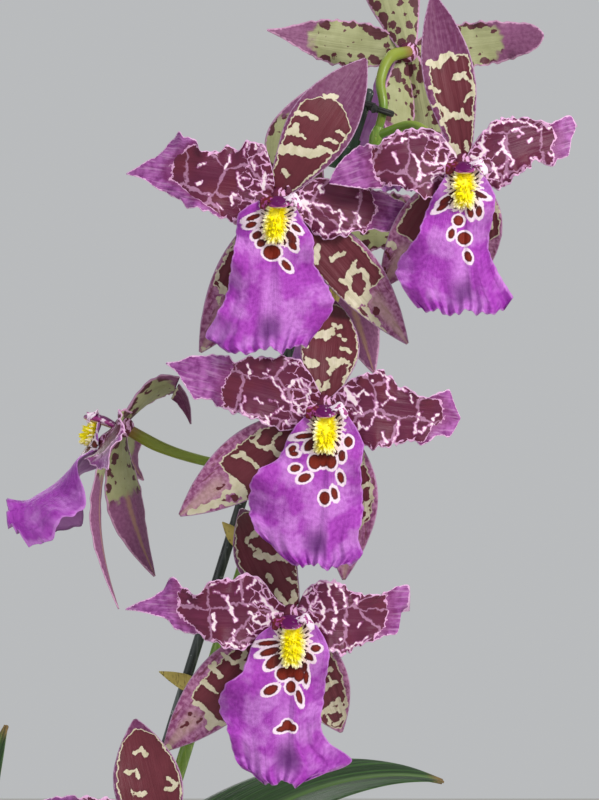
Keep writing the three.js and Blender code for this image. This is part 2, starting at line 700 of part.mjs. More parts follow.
function bulbSolid({ x, y, foot, height, across, deep, turn }) {
  const rings = 7;
  const sides = 2 * BULB_RIBS;
  const positions = [];
  const index = [];
  for (let ring = 0; ring <= rings; ring += 1) {
    const t = ring / rings;
    const size = through(BULB_OUTLINE, t);
    for (let side = 0; side < sides; side += 1) {
      const angle = (2 * Math.PI * side) / sides;
      const rib = 1 + 0.035 * Math.cos(BULB_RIBS * angle) * Math.sin(Math.PI * t);
      positions.push(across * size * rib * Math.cos(angle), deep * size * rib * Math.sin(angle), height * t);
    }
  }
  positions.push(0, 0, 0, 0, 0, height);
  const first = (rings + 1) * sides;
  for (let side = 0; side < sides; side += 1) {
    const next = (side + 1) % sides;
    for (let ring = 0; ring < rings; ring += 1) {
      const low = ring * sides;
      const high = low + sides;
      index.push(low + side, low + next, high + next, low + side, high + next, high + side);
    }
    index.push(first, next, side, first + 1, rings * sides + side, rings * sides + next);
  }
  const geometry = new THREE.BufferGeometry();
  geometry.setAttribute("position", new THREE.BufferAttribute(new Float32Array(positions), 3));
  geometry.setIndex(index);
  geometry.rotateZ(radians(turn));
  geometry.translate(x, y, foot);
  return solidOf(geometry);
}

// The pot and the bark

function potRadius(height) {
  return THREE.MathUtils.lerp(POT_BASE_RADIUS, POT_TOP_RADIUS - RIM_STEP, height / POT_HEIGHT);
}

function potSolid() {
  const rimFoot = POT_HEIGHT - RIM_HEIGHT;
  const profile = [
    [0, 0],
    [POT_BASE_RADIUS - 1.5, 0],
    [POT_BASE_RADIUS, 1.5],
    [potRadius(rimFoot), rimFoot],
    [potRadius(rimFoot) + RIM_STEP, rimFoot + 2],
    [POT_TOP_RADIUS, POT_HEIGHT - 3],
    [POT_TOP_RADIUS - 1.5, POT_HEIGHT],
    [POT_TOP_RADIUS - POT_WALL - 1, POT_HEIGHT],
    [potRadius(rimFoot) - POT_WALL, rimFoot - 4],
    [POT_BASE_RADIUS - POT_WALL, POT_FLOOR],
    [0, POT_FLOOR],
  ].map(([r, h]) => new THREE.Vector2(r, h));
  const geometry = new THREE.LatheGeometry(profile, 32);
  geometry.rotateX(Math.PI / 2);
  let pot = solidOf(geometry);
  for (let i = 0; i < DRAIN_HOLES; i += 1) {
    const turn = (2 * Math.PI * (i + 0.5)) / DRAIN_HOLES;
    const drain = new THREE.CylinderGeometry(DRAIN_RADIUS, DRAIN_RADIUS, POT_FLOOR * 3, 8);
    drain.rotateX(Math.PI / 2);
    drain.translate(DRAIN_CIRCLE * Math.cos(turn), DRAIN_CIRCLE * Math.sin(turn), 0);
    pot = pot.subtract(solidOf(drain));
  }
  return pot;
}

function barkRadius(height) {
  const rimFoot = POT_HEIGHT - RIM_HEIGHT;
  const inner = (potRadius(rimFoot) - POT_BASE_RADIUS) / (rimFoot - 4 - POT_FLOOR);
  return POT_BASE_RADIUS - POT_WALL + inner * (height - POT_FLOOR) - 1.6;
}

// Chips lie over the bark on a sunflower spiral, so that they cover it evenly.
function barkChips() {
  const random = makeRandom(7);
  const chips = [];
  for (let i = 0; i < BARK_CHIPS; i += 1) {
    const size = CHIP_LENGTH * (0.65 + 0.55 * random());
    const chip = new THREE.BoxGeometry(size, size * 0.6, size * 0.36);
    chip.rotateX(0.7 * (random() - 0.5));
    chip.rotateY(0.7 * (random() - 0.5));
    chip.rotateZ(Math.PI * random());
    const reach = (barkRadius(BARK_LEVEL) - 16) * Math.sqrt((i + 0.5) / BARK_CHIPS);
    const turn = i * 2.39996;
    chip.translate(reach * Math.cos(turn), reach * Math.sin(turn), BARK_LEVEL - 1 + 2 * random());
    chips.push(solidOf(chip));
  }
  return chips;
}

// Plain holes through the chips, in which the pseudobulbs, the spike and the stake stand.
function barkHoles() {
  const holes = Object.values(BULBS).map(({ x, y, foot, across, deep, turn }) => {
    const hole = new THREE.CylinderGeometry(1, 1, 60, 18);
    hole.rotateX(Math.PI / 2);
    hole.scale(across * 0.9 + 1, deep * 0.9 + 1, 1);
    hole.rotateZ(radians(turn));
    hole.translate(x, y, foot + 30 - JOIN_GAP);
    return solidOf(hole);
  });
  const deep = STAKE_FOOT.clone().addScaledVector(stakeWay, -JOIN_GAP);
  holes.push(rod([deep, stakeAt(160)], 1, 10, STAKE_RADIUS + JOIN_GAP, STAKE_RADIUS + JOIN_GAP));
  const hole = SPIKE_FOOT_RADIUS + JOIN_GAP + 0.2;
  holes.push(rod([spikeAt(SPIKE_FOOT_HEIGHT - 1), spikeAt(160)], 1, 10, hole, hole));
  return holes;
}

function barkSolid() {
  const profile = [
    [0, POT_FLOOR + 1],
    [barkRadius(POT_FLOOR + 1), POT_FLOOR + 1],
    [barkRadius(BARK_LEVEL - 18), BARK_LEVEL - 18],
    [barkRadius(BARK_LEVEL - 18), BARK_LEVEL - 3],
    [0, BARK_LEVEL],
  ].map(([r, h]) => new THREE.Vector2(r, h));
  const geometry = new THREE.LatheGeometry(profile, 20);
  geometry.rotateX(Math.PI / 2);
  const heap = joined([solidOf(geometry), ...barkChips()]);
  return mainBody(heap.subtract(joined(barkHoles())));
}

// The plant, put together

const FINISH = {
  clay: new THREE.MeshStandardMaterial({ color: 0xb2643f, roughness: 0.85, metalness: 0 }),
  bark: new THREE.MeshStandardMaterial({ color: 0x5c3a22, roughness: 0.95, metalness: 0 }),
  bulb: new THREE.MeshStandardMaterial({ color: 0x6f8f3a, roughness: 0.5, metalness: 0 }),
  leaf: new THREE.MeshStandardMaterial({ color: 0x2f6b2a, roughness: 0.45, metalness: 0 }),
  spike: new THREE.MeshStandardMaterial({ color: 0x6fa02e, roughness: 0.45, metalness: 0 }),
  stake: new THREE.MeshStandardMaterial({ color: 0x24403a, roughness: 0.35, metalness: 0 }),
  clip: new THREE.MeshStandardMaterial({ color: 0x1d3a26, roughness: 0.4, metalness: 0 }),
  tie: new THREE.MeshStandardMaterial({ color: 0x121212, roughness: 0.6, metalness: 0 }),
  tepal: new THREE.MeshStandardMaterial({ color: 0x7d3350, roughness: 0.5, metalness: 0 }),
  lip: new THREE.MeshStandardMaterial({ color: 0xb34fc0, roughness: 0.5, metalness: 0 }),
  crest: new THREE.MeshStandardMaterial({ color: 0xf2d21b, roughness: 0.45, metalness: 0 }),
};

const plant = new THREE.Group();

function addPiece(name, solid, finish) {
  const mesh = new THREE.Mesh(geometryOf(solid), FINISH[finish]);
  mesh.name = name;
  plant.add(mesh);
}

addPiece("pot", potSolid(), "clay");
addPiece("bark", barkSolid(), "bark");
for (const [name, bulb] of Object.entries(BULBS)) addPiece(name, bulbSolid(bulb), "bulb");
for (const name of Object.keys(LEAVES)) addPiece(name, leafSolid(name), "leaf");
addPiece("spike", spikeSolid(), "spike");
addPiece("stake", stakeSolid(), "stake");
for (const [name, height] of Object.entries(CLIPS)) addPiece(name, clipSolid(height), "clip");
addPiece("tie", tieSolid(), "tie");
for (const [name, bloom] of Object.entries(BLOOMS)) {
  addPiece(`bloom_${name}_tepals`, tepalsSolid(bloom), "tepal");
  addPiece(`bloom_${name}_lip`, bladeSolid(lipBlade(bloom), 7, 6, LIP_THICKNESS), "lip");
  addPiece(`bloom_${name}_crest`, crestSolid(bloom), "crest");
}

export default plant;
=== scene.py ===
# A potted Aliceara orchid in bloom. A clay pot of bark holds three pseudobulbs and a young shoot with their
# strap leaves. One flower spike leans along a coated steel stake, held by three clips and a wire tie, and
# bears eight blooms.
import math

import bpy
import numpy as np
from mathutils import Matrix, Vector


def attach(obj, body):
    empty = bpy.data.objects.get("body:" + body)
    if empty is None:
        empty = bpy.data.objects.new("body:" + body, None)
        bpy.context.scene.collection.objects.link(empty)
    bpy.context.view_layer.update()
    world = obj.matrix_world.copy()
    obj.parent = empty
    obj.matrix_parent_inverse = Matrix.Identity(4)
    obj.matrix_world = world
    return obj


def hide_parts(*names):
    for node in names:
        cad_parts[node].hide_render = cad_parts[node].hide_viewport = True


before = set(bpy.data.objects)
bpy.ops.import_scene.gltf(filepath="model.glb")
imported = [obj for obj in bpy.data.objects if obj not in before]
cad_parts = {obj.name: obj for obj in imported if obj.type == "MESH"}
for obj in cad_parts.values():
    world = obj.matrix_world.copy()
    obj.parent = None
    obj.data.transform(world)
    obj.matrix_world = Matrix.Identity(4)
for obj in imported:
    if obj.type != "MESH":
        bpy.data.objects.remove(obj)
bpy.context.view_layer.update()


# The view: a long lens, level with the blooms and square to them.

VIEW_PLACE = (0.143, -1.14, 0.525)
LENS_LENGTH = 141.4
SENSOR_WIDTH = 36
FARTHEST_SEEN = 60

photo_lens = bpy.data.cameras.new("photo_camera")
photo_lens.lens = LENS_LENGTH
photo_lens.sensor_width = SENSOR_WIDTH
photo_lens.clip_end = FARTHEST_SEEN
photo_camera = bpy.data.objects.new("photo_camera", photo_lens)
photo_camera.location = VIEW_PLACE
photo_camera.rotation_euler = (math.radians(90), 0, 0)
bpy.context.scene.collection.objects.link(photo_camera)
bpy.context.scene.camera = photo_camera
bpy.context.scene.view_settings.view_transform = "Standard"


# The studio: a plain pale floor, one broad soft lamp beside the camera, a weaker one opposite and one from
# behind.

FLOOR_REACH = 3.0
LAMPS_AIM = (0.1, 0, 0.45)


def shade(word):
    """A colour from its six-figure word, as a shader takes it."""
    parts = [int(word[i : i + 2], 16) / 255 for i in (0, 2, 4)]
    return [c / 12.92 if c <= 0.04045 else ((c + 0.055) / 1.055) ** 2.4 for c in parts] + [1.0]


class Nodes:
    """A node tree under way."""

    def __init__(self, tree, prefix):
        self.tree = tree
        self.prefix = prefix

    def node(self, kind, inputs=(), output=0, **settings):
        """Adds a node with its sockets filled, by values or other nodes' outputs, and gives one output."""
        node = self.tree.nodes.new(kind if kind.startswith(("Shader", "Function")) else self.prefix + kind)
        for setting, value in settings.items():
            setattr(node, setting, value)
        for socket, value in dict(inputs).items():
            if isinstance(value, bpy.types.NodeSocket):
                self.tree.links.new(value, node.inputs[socket])
            else:
                node.inputs[socket].default_value = value
        return node.outputs[output]

    def maths(self, operation, first, second=0.0, third=0.0):
        return self.node("ShaderNodeMath", {0: first, 1: second, 2: third}, operation=operation)

    def times(self, first, second):
        return self.maths("MULTIPLY", first, second)

    def plus(self, first, second):
        return self.maths("ADD", first, second)

    def less(self, first, second):
        return self.maths("SUBTRACT", first, second)

    def fit(self, value, by, then):
        """A value times one number, plus another."""
        return self.maths("MULTIPLY_ADD", value, by, then)


class Finish(Nodes):
    """A procedural finish: the nodes of one material, and the surface that they feed."""

    def __init__(self, name, **surface):
        self.material = bpy.data.materials.new(name)
        self.material.use_nodes = True
        super().__init__(self.material.node_tree, "ShaderNode")
        self.surface = self.tree.nodes["Principled BSDF"]
        for word, value in surface.items():
            self.surface.inputs[word.replace("_", " ")].default_value = value

    def place(self):
        return self.node("TexCoord", output="Object")

    def mark(self, name, output="Fac"):
        """A value that the piece carries at each of its points."""
        return self.node("Attribute", output=output, attribute_name=name)

    def part(self, vector, axis):
        return self.node("SeparateXYZ", {0: vector}, output="XYZ".index(axis))

    def scaled(self, vector, by):
        return self.node("VectorMath", {0: vector, 1: by}, operation="MULTIPLY")

    def grain(self, where, scale, detail=2.0):
        return self.node("TexNoise", {"Vector": where, "Scale": scale, "Detail": detail})

    def shaken(self, where, scale, reach):
        """A place moved about by a noise, so that what is drawn over it turns ragged."""
        noise = self.node("TexNoise", {"Vector": where, "Scale": scale, "Detail": 2.0}, output=1)
        swing = self.node("VectorMath", {0: noise, 1: (0.5, 0.5, 0.5)}, operation="SUBTRACT")
        return self.node("VectorMath", {0: swing, 1: (2 * reach,) * 3, 2: where}, operation="MULTIPLY_ADD")

    def cracks(self, where, scale):
        """How far a place is from the nearest line of a net, in widths of its meshes."""
        settings = {"feature": "DISTANCE_TO_EDGE", "voronoi_dimensions": "2D"}
        return self.node("TexVoronoi", {"Vector": where, "Scale": scale}, **settings)

    def eased(self, value, low, high):
        """0 where the value is at low and 1 where it is at high."""
        return self.node("MapRange", {0: value, 1: low, 2: high}, interpolation_type="SMOOTHSTEP")

    def blend(self, share, first, second):
        """A colour between two, each a word or another node's output."""
        first, second = (shade(c) if isinstance(c, str) else c for c in (first, second))
        return self.node("Mix", {0: share, 6: first, 7: second}, output=2, data_type="RGBA")

    def tint(self, body, colour, value, low, high, share=1.0):
        """A body colour with another over it, up to a share, as a value goes from low to high."""
        cover = self.eased(value, low, high)
        return self.blend(cover if share == 1.0 else self.times(cover, share), body, colour)

    def colour(self, colour):
        self.tree.links.new(colour, self.surface.inputs["Base Color"])

    def rough(self, share, low, high):
        rough = self.node("MapRange", {0: share, 3: low, 4: high})
        self.tree.links.new(rough, self.surface.inputs["Roughness"])

    def relief(self, height, depth, strength=1.0):
        """Raises the surface by a height from 0 to 1, depth metres at most."""
        normal = self.node("Bump", {"Height": height, "Distance": depth, "Strength": strength})
        self.tree.links.new(normal, self.surface.inputs["Normal"])


floor_mesh = bpy.data.meshes.new("floor")
floor_corners = [(x * FLOOR_REACH, y * FLOOR_REACH, 0) for x, y in ((-1, -1), (1, -1), (1, 1), (-1, 1))]
floor_mesh.from_pydata(floor_corners, [], [(0, 1, 2, 3)])
floor = bpy.data.objects.new("floor", floor_mesh)
bpy.context.scene.collection.objects.link(floor)
paper = Finish("pale_paper", Roughness=0.9)
paper.colour(paper.blend(paper.grain(paper.place(), 3.0), "d9d7d2", "dfddd8"))
floor_mesh.materials.append(paper.material)


def hang_lamp(name, place, width, watts, warmth):
    """A soft square lamp that points at the blooms."""
    lamp = bpy.data.lights.new(name, "AREA")
    lamp.size = width
    lamp.energy = watts
    lamp.color = warmth
    lamp_object = bpy.data.objects.new(name, lamp)
    lamp_object.location = place
    lamp_object.rotation_euler = (Vector(place) - Vector(LAMPS_AIM)).to_track_quat("Z", "Y").to_euler()
    bpy.context.scene.collection.objects.link(lamp_object)


hang_lamp("key_lamp", (1.0, -1.0, 1.3), 0.5, 19, (1.0, 0.98, 0.95))
hang_lamp("fill_lamp", (-1.3, -1.0, 0.7), 1.0, 2.5, (0.95, 0.97, 1.0))
hang_lamp("back_lamp", (-0.3, 1.3, 1.3), 0.8, 7, (1.0, 1.0, 1.0))

room = bpy.data.worlds.new("room")
room.use_nodes = True
room.node_tree.nodes["Background"].inputs["Color"].default_value = shade("cfd1d3")
room.node_tree.nodes["Background"].inputs["Strength"].default_value = 0.78
bpy.context.scene.world = room


# The pot: thrown red clay, fired without a glaze, with a thick rim and four drain holes in its foot.
# Lime from the water has dried white on it, below the rim and above the foot.

POT_HEIGHT = 130
POT_BASE_RADIUS = 49
POT_TOP_RADIUS = 74
POT_WALL = 6
POT_FLOOR = 9
RIM_HEIGHT = 27
RIM_STEP = 4
DRAINS = 4
DRAIN_RADIUS = 6
DRAIN_CIRCLE = 28
RIM_FOOT = POT_HEIGHT - RIM_HEIGHT


class Piece:
    """A piece under way: its points in millimetres, its faces, and what its finish reads at each point."""

    def __init__(self):
        self.points = []
        self.faces = []
        self.finish_of_face = []
        self.marks = {}
        self.count = 0

    def add(self, points, face_groups, finish=0, **marks):
        """Adds points and groups of faces. Each group may have a finish of its own."""
        points = np.asarray(points, float).reshape(-1, 3)
        for i, group in enumerate(face_groups):
            self.faces += (np.asarray(group) + self.count).tolist()
            self.finish_of_face += [finish[i] if isinstance(finish, tuple) else finish] * len(group)
        for name, values in marks.items():
            values = np.broadcast_to(values, (len(points),) + np.shape(values)[1:])
            self.marks.setdefault(name, []).append(values)
        self.points.append(points)
        self.count += len(points)

    def make(self, name, *finishes):
        """Turns what was gathered into an object at the origin, with its place in its mesh."""
        mesh = bpy.data.meshes.new(name)
        mesh.from_pydata((np.concatenate(self.points) / 1000).tolist(), [], self.faces)
        mesh.polygons.foreach_set("use_smooth", [True] * len(self.faces))
        mesh.polygons.foreach_set("material_index", self.finish_of_face)
        for finish in finishes:
            mesh.materials.append(finish.material)
        for mark, values in self.marks.items():
            values = np.concatenate(values).astype(np.float32)
            vector = values.ndim == 2
            layer = mesh.attributes.new(mark, "FLOAT_VECTOR" if vector else "FLOAT", "POINT")
            layer.data.foreach_set("vector" if vector else "value", values.ravel())
        mesh.update()
        piece = bpy.data.objects.new(name, mesh)
        bpy.context.scene.collection.objects.link(piece)
        return piece


def stand(piece, slot, *nodes):
    """Puts a finished piece on the plant, in place of the CAD nodes that it stands for."""
    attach(piece, "root")
    if nodes:
        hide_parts(*nodes)


def tube_faces(rings, sides):
    """The wall of a tube of rings, closed at each end on a pole: two more points after the rings' own."""
    this = np.arange(rings * sides).reshape(rings, sides)
    following = np.roll(this, -1, axis=1)
    wall = np.stack([this[:-1], following[:-1], following[1:], this[1:]], -1).reshape(-1, 4)
    pole = np.full(sides, rings * sides)
    foot = np.stack([pole, following[0], this[0]], -1)
    top = np.stack([pole + 1, this[-1], following[-1]], -1)
    return wall, foot, top


def turned(profile, sides):
    """A solid turned round Z from a profile of (radius, height), which starts and ends on the axis."""
    radius, height = np.array(profile[1:-1], float).T[:, :, None]
    angle = np.linspace(0, 2 * np.pi, sides, endpoint=False)
    rings = np.stack(np.broadcast_arrays(radius * np.cos(angle), radius * np.sin(angle), height), -1)
    poles = [[0, 0, profile[0][1]], [0, 0, profile[-1][1]]]
    return np.concatenate([rings.reshape(-1, 3), poles]), tube_faces(len(radius), sides)


def eased_corners(profile, size, steps=4):
    """A profile with its corners rounded over, each by a short curve."""
    points = np.array(profile, float)
    eased = [points[0]]
    for before, corner, after in zip(points, points[1:], points[2:]):
        reach = min(size, np.linalg.norm(before - corner) * 0.45, np.linalg.norm(after - corner) * 0.45)
        start = corner + (before - corner) * reach / np.linalg.norm(before - corner)
        end = corner + (after - corner) * reach / np.linalg.norm(after - corner)
        for t in np.linspace(0, 1, steps + 1):
            eased.append((1 - t) ** 2 * start + 2 * t * (1 - t) * corner + t * t * end)
    return eased + [points[-1]]


def pot_radius(height):
    """The pot's outer radius at a height, below its rim."""
    return POT_BASE_RADIUS + (POT_TOP_RADIUS - RIM_STEP - POT_BASE_RADIUS) * height / POT_HEIGHT


pot_profile = [
    (0, 0),
    (POT_BASE_RADIUS, 0),
    (pot_radius(RIM_FOOT), RIM_FOOT),
    (pot_radius(RIM_FOOT) + RIM_STEP, RIM_FOOT + 2),
    (POT_TOP_RADIUS, POT_HEIGHT),
    (POT_TOP_RADIUS - POT_WALL - 1, POT_HEIGHT),
    (pot_radius(RIM_FOOT) - POT_WALL, RIM_FOOT - 4),
    (POT_BASE_RADIUS - POT_WALL, POT_FLOOR),
    (0, POT_FLOOR),
]
clay = Finish("red_clay", Roughness=0.85)
clay_at = clay.place()
clay_height = clay.part(clay_at, "Z")
clay_body = clay.blend(clay.grain(clay_at, 26, 5), "8f4529", "bb6a44")
clay_speck = clay.eased(clay.grain(clay_at, 900, 1), 0.66, 0.72)
clay_body = clay.blend(clay.times(clay_speck, 0.6), clay_body, "6d3220")
lime = clay.plus(clay.eased(clay_height, 0.1, 0.122), clay.eased(clay_height, 0.022, 0.004))
lime = clay.times(lime, clay.eased(clay.grain(clay_at, 34, 6), 0.48, 0.72))
clay.colour(clay.blend(clay.times(lime, 0.75), clay_body, "d8c3b0"))
throwing_rings = {"Vector": clay_at, "Scale": 55, "Distortion": 3, "Detail": 2, "Detail Scale": 0.4}
throwing = clay.node("TexWave", throwing_rings, bands_direction="Z")
clay.relief(clay.plus(throwing, clay.grain(clay_at, 600, 3)), 0.0005, 0.5)

pot_under_way = Piece()
pot_under_way.add(*turned(eased_corners(pot_profile, 2.4), 128))
pot = pot_under_way.make("clay_pot", clay)
drains_under_way = Piece()
drain, drain_faces = turned([(0, -5), (DRAIN_RADIUS, -5), (DRAIN_RADIUS, 20), (0, 20)], 32)
for i in range(DRAINS):
    turn = 2 * math.pi * (i + 0.5) / DRAINS
    place = [DRAIN_CIRCLE * math.cos(turn), DRAIN_CIRCLE * math.sin(turn), 0]
    drains_under_way.add(drain + place, drain_faces)
drains = drains_under_way.make("drains", clay)


def cut_out(piece, cutter, operation="DIFFERENCE"):
    """Takes one solid out of another, or fuses it in, and keeps the result as the piece's own mesh."""
    boolean = piece.modifiers.new("cut", "BOOLEAN")
    boolean.object = cutter
    boolean.operation = operation
    boolean.solver = "EXACT"
    bpy.context.view_layer.update()
    mesh = bpy.data.meshes.new_from_object(piece.evaluated_get(bpy.context.evaluated_depsgraph_get()))
    piece.modifiers.remove(boolean)
    piece.data = mesh
    bpy.data.objects.remove(cutter)


cut_out(pot, drains)
stand(pot, "terracotta", "pot")


# The bark: pine chips, split along the grain, in which the roots hold. Big chips lie on top with crumbs
# between them.

BARK_LEVEL = 114
BARK_GAP = 1.6
HEAP_SHOULDER = BARK_LEVEL - 18
HEAP_RIM = BARK_LEVEL - 3
CHIP_LENGTH = 25
CRUMB_LENGTH = 11.5
GOLDEN_ANGLE = 2.39996


class Growth(Nodes):
    """A Geometry Nodes tree under way, with named inputs for its sizes."""

    def __init__(self, name, **sizes):
        super().__init__(bpy.data.node_groups.new(name, "GeometryNodeTree"), "GeometryNode")
        sockets = self.tree.interface
        sockets.new_socket("Geometry", in_out="INPUT", socket_type="NodeSocketGeometry")
        sockets.new_socket("Geometry", in_out="OUTPUT", socket_type="NodeSocketGeometry")
        for size, value in sizes.items():
            kind = "NodeSocketInt" if isinstance(value, int) else "NodeSocketFloat"
            sockets.new_socket(size, in_out="INPUT", socket_type=kind).default_value = value
        self.entry = self.tree.nodes.new("NodeGroupInput")

    def size(self, name):
        return self.entry.outputs[name]

    def random(self, low, high, seed):
        """A draw between two numbers, or two vectors, for each item."""
        draw = "FunctionNodeRandomValue"
        if isinstance(low, tuple):
            return self.node(draw, {0: low, 1: high, "Seed": seed}, data_type="FLOAT_VECTOR")
        return self.node(draw, {2: low, 3: high, "Seed": seed}, output=1, data_type="FLOAT")

    def done(self, geometry, finish):
        """Ends the tree: its copies become real, in the finish's material."""
        real = self.node("RealizeInstances", {0: geometry})
        finished = self.node("SetMaterial", {"Geometry": real, "Material": finish.material})
        self.tree.links.new(finished, self.tree.nodes.new("NodeGroupOutput").inputs[0])


def grow(name, start, growth, **sizes):
    """Runs a tree on a start mesh and keeps the result as a plain mesh."""
    modifier = start.modifiers.new("growth", "NODES")
    modifier.node_group = growth.tree
    for socket in growth.tree.interface.items_tree:
        if socket.in_out == "INPUT" and socket.name in sizes:
            modifier[socket.identifier] = sizes[socket.name]
    bpy.context.view_layer.update()
    mesh = bpy.data.meshes.new_from_object(start.evaluated_get(bpy.context.evaluated_depsgraph_get()))
    start.modifiers.remove(modifier)
    bpy.data.objects.remove(start)
    mesh.name = name
    piece = bpy.data.objects.new(name, mesh)
    bpy.context.scene.collection.objects.link(piece)
    return piece


bark = Finish("pine_bark", Roughness=0.92)
bark_at = bark.place()
bark_layers = bark.grain(bark.scaled(bark.shaken(bark_at, 40, 0.01), (220, 220, 700)), 1.0, 4)
bark_body = bark.blend(bark.grain(bark_at, 60, 4), "3a2217", "83522f")
bark_body = bark.tint(bark_body, "a9764b", bark_layers, 0.42, 0.66)
bark_grey = bark.times(bark.eased(bark.grain(bark_at, 24, 3), 0.5, 0.7), 0.5)
bark.colour(bark.blend(bark_grey, bark_body, "8d8478"))
bark.relief(bark_layers, 0.0012, 0.8)

# Chips follow a sunflower's spiral, so that they cover the bark evenly. Each is roughened by where it lies.
chip_sizes = {"Level": BARK_LEVEL / 1000, "Length": CHIP_LENGTH / 1000}
chipping = Growth("bark_chips", Chips=30, Reach=0.05, Seed=7, **chip_sizes)
chip_number = chipping.node("InputIndex")
chip_share = chipping.maths("DIVIDE", chipping.plus(chip_number, 0.5), chipping.size("Chips"))
chip_reach = chipping.times(chipping.maths("SQRT", chip_share), chipping.size("Reach"))
chip_turn = chipping.times(chip_number, GOLDEN_ANGLE)
chip_x = chipping.times(chip_reach, chipping.maths("COSINE", chip_turn))
chip_y = chipping.times(chip_reach, chipping.maths("SINE", chip_turn))
chip_z = chipping.plus(chipping.size("Level"), chipping.random(-0.001, 0.001, chipping.size("Seed")))
chip_place = chipping.node("ShaderNodeCombineXYZ", {0: chip_x, 1: chip_y, 2: chip_z})
chip_points = chipping.node("Points", {"Count": chipping.size("Chips"), "Position": chip_place})
chip_form = {"Size": (1, 0.6, 0.36), "Vertices X": 7, "Vertices Y": 5, "Vertices Z": 3}
chip_block = chipping.node("MeshCube", chip_form)
chip_size = chipping.times(chipping.size("Length"), chipping.random(0.65, 1.15, chipping.size("Seed")))
chip_lie = chipping.random((-0.35, -0.35, 0.0), (0.35, 0.35, 3.14), chipping.size("Seed"))
chip_copies = {"Points": chip_points, "Instance": chip_block, "Rotation": chip_lie, "Scale": chip_size}
chips = chipping.node("RealizeInstances", {0: chipping.node("InstanceOnPoints", chip_copies)})
chip_noise = {"Vector": chipping.node("InputPosition"), "Scale": 95.0, "Detail": 2.0}
chip_swing = chipping.node("ShaderNodeTexNoise", chip_noise, output=1)
chip_swing = chipping.node("ShaderNodeVectorMath", {0: chip_swing, 1: (0.5, 0.5, 0.5)}, operation="SUBTRACT")
chip_swing = chipping.node("ShaderNodeVectorMath", {0: chip_swing, "Scale": 0.012}, operation="SCALE")
chips = chipping.node("SetPosition", {"Geometry": chips, "Offset": chip_swing})
heap_and_chips = chipping.tree.nodes.new("GeometryNodeJoinGeometry")
chipping.tree.links.new(chipping.size("Geometry"), heap_and_chips.inputs[0])
chipping.tree.links.new(chips, heap_and_chips.inputs[0])
chipping.done(heap_and_chips.outputs[0], bark)


def bark_radius(height):
    """The heap's radius at a height, just inside the pot's wall."""
    inner = (pot_radius(RIM_FOOT) - POT_BASE_RADIUS) / (RIM_FOOT - 4 - POT_FLOOR)
    return POT_BASE_RADIUS - POT_WALL + inner * (height - POT_FLOOR) - BARK_GAP


heap_foot = POT_FLOOR + 1
heap_reach = bark_radius(HEAP_SHOULDER)
heap_profile = [(0, heap_foot), (bark_radius(heap_foot), heap_foot), (heap_reach, HEAP_SHOULDER)]
heap_under_way = Piece()
heap_under_way.add(*turned(heap_profile + [(heap_reach, HEAP_RIM), (0, BARK_LEVEL)], 64))
big_chips = grow("bark_chips", heap_under_way.make("heap", bark), chipping, Reach=(heap_reach - 14) / 1000)
stand(big_chips, "bark", "bark")
crumb_under_way = Piece()
crumb_under_way.add(*turned([(0, 100), (30, 100), (30, 104), (0, 104)], 12))
crumbs = grow(
    "bark_crumbs",
    crumb_under_way.make("crumb_bed", bark),
    chipping,
    Chips=150,
    Reach=(heap_reach - 5) / 1000,
    Level=(BARK_LEVEL + 2.5) / 1000,
    Length=CRUMB_LENGTH / 1000,
    Seed=11,
)
stand(crumbs, "bark", "bark")


# The pseudobulbs: flattened green eggs that store water, ribbed and a little shrunken, each on the rhizome in
# the bark. Dry straw-coloured sheaths, all that is left of their first leaves, still clasp their feet.

BULBS = {
    "pseudobulb_front": {"x": -18, "y": -2, "height": 88, "across": 17, "deep": 11, "turn": 12},
    "pseudobulb_back": {"x": 10, "y": 34, "height": 80, "across": 16, "deep": 10.5, "turn": -14},
    "pseudobulb_old": {"x": -30, "y": 30, "height": 66, "across": 14.5, "deep": 9.5, "turn": 24},
}
BULB_FOOT = 104
BULB_OUTLINE = [(0, 0.62), (0.3, 0.96), (0.5, 1), (0.8, 0.68), (0.93, 0.4), (1, 0.26)]
BULB_RIBS = 7
BULB_RINGS = 65
BULB_SIDES = 112
# A sheath is where it starts round the foot and how far it goes, in radians, and its height's share.
SHEATHS = [(0.2, 2.6, 0.5), (3.3, 2.9, 0.42), (1.9, 2.2, 0.28)]


def through(knots, at):
    """A smooth line through (place, value) knots, read at many places."""
    place, value = np.array(knots, float).T
    slope = np.empty_like(value)
    slope[1:-1] = (value[2:] - value[:-2]) / (place[2:] - place[:-2])
    slope[[0, -1]] = (value[[1, -1]] - value[[0, -2]]) / (place[[1, -1]] - place[[0, -2]])
    i = np.clip(np.searchsorted(place, at) - 1, 0, len(place) - 2)
    step = place[i + 1] - place[i]
    s = np.clip((at - place[i]) / step, 0, 1)
    start = value[i] * (2 * s**3 - 3 * s**2 + 1) + slope[i] * step * (s**3 - 2 * s**2 + s)
    return start + value[i + 1] * (3 * s**2 - 2 * s**3) + slope[i + 1] * step * (s**3 - s**2)


def bulb_surface(bulb, t, angle, stand_off=0):
    """Points on a pseudobulb, by share of its height and angle round it."""
    size = through(BULB_OUTLINE, t)
    rib = 1 + 0.035 * np.cos(BULB_RIBS * angle) * np.sin(np.pi * t)
    shrunk = 0.35 * np.sin(3 * BULB_RIBS * angle + 9 * t) * np.sin(np.pi * t)
    x = (bulb["across"] * size * rib + shrunk + stand_off) * np.cos(angle)
    y = (bulb["deep"] * size * rib + shrunk + stand_off) * np.sin(angle)
    turn = math.radians(bulb["turn"])
    return np.stack(
        np.broadcast_arrays(
            bulb["x"] + x * math.cos(turn) - y * math.sin(turn),
            bulb["y"] + x * math.sin(turn) + y * math.cos(turn),
            BULB_FOOT + bulb["height"] * t,
        ),
        -1,
    )


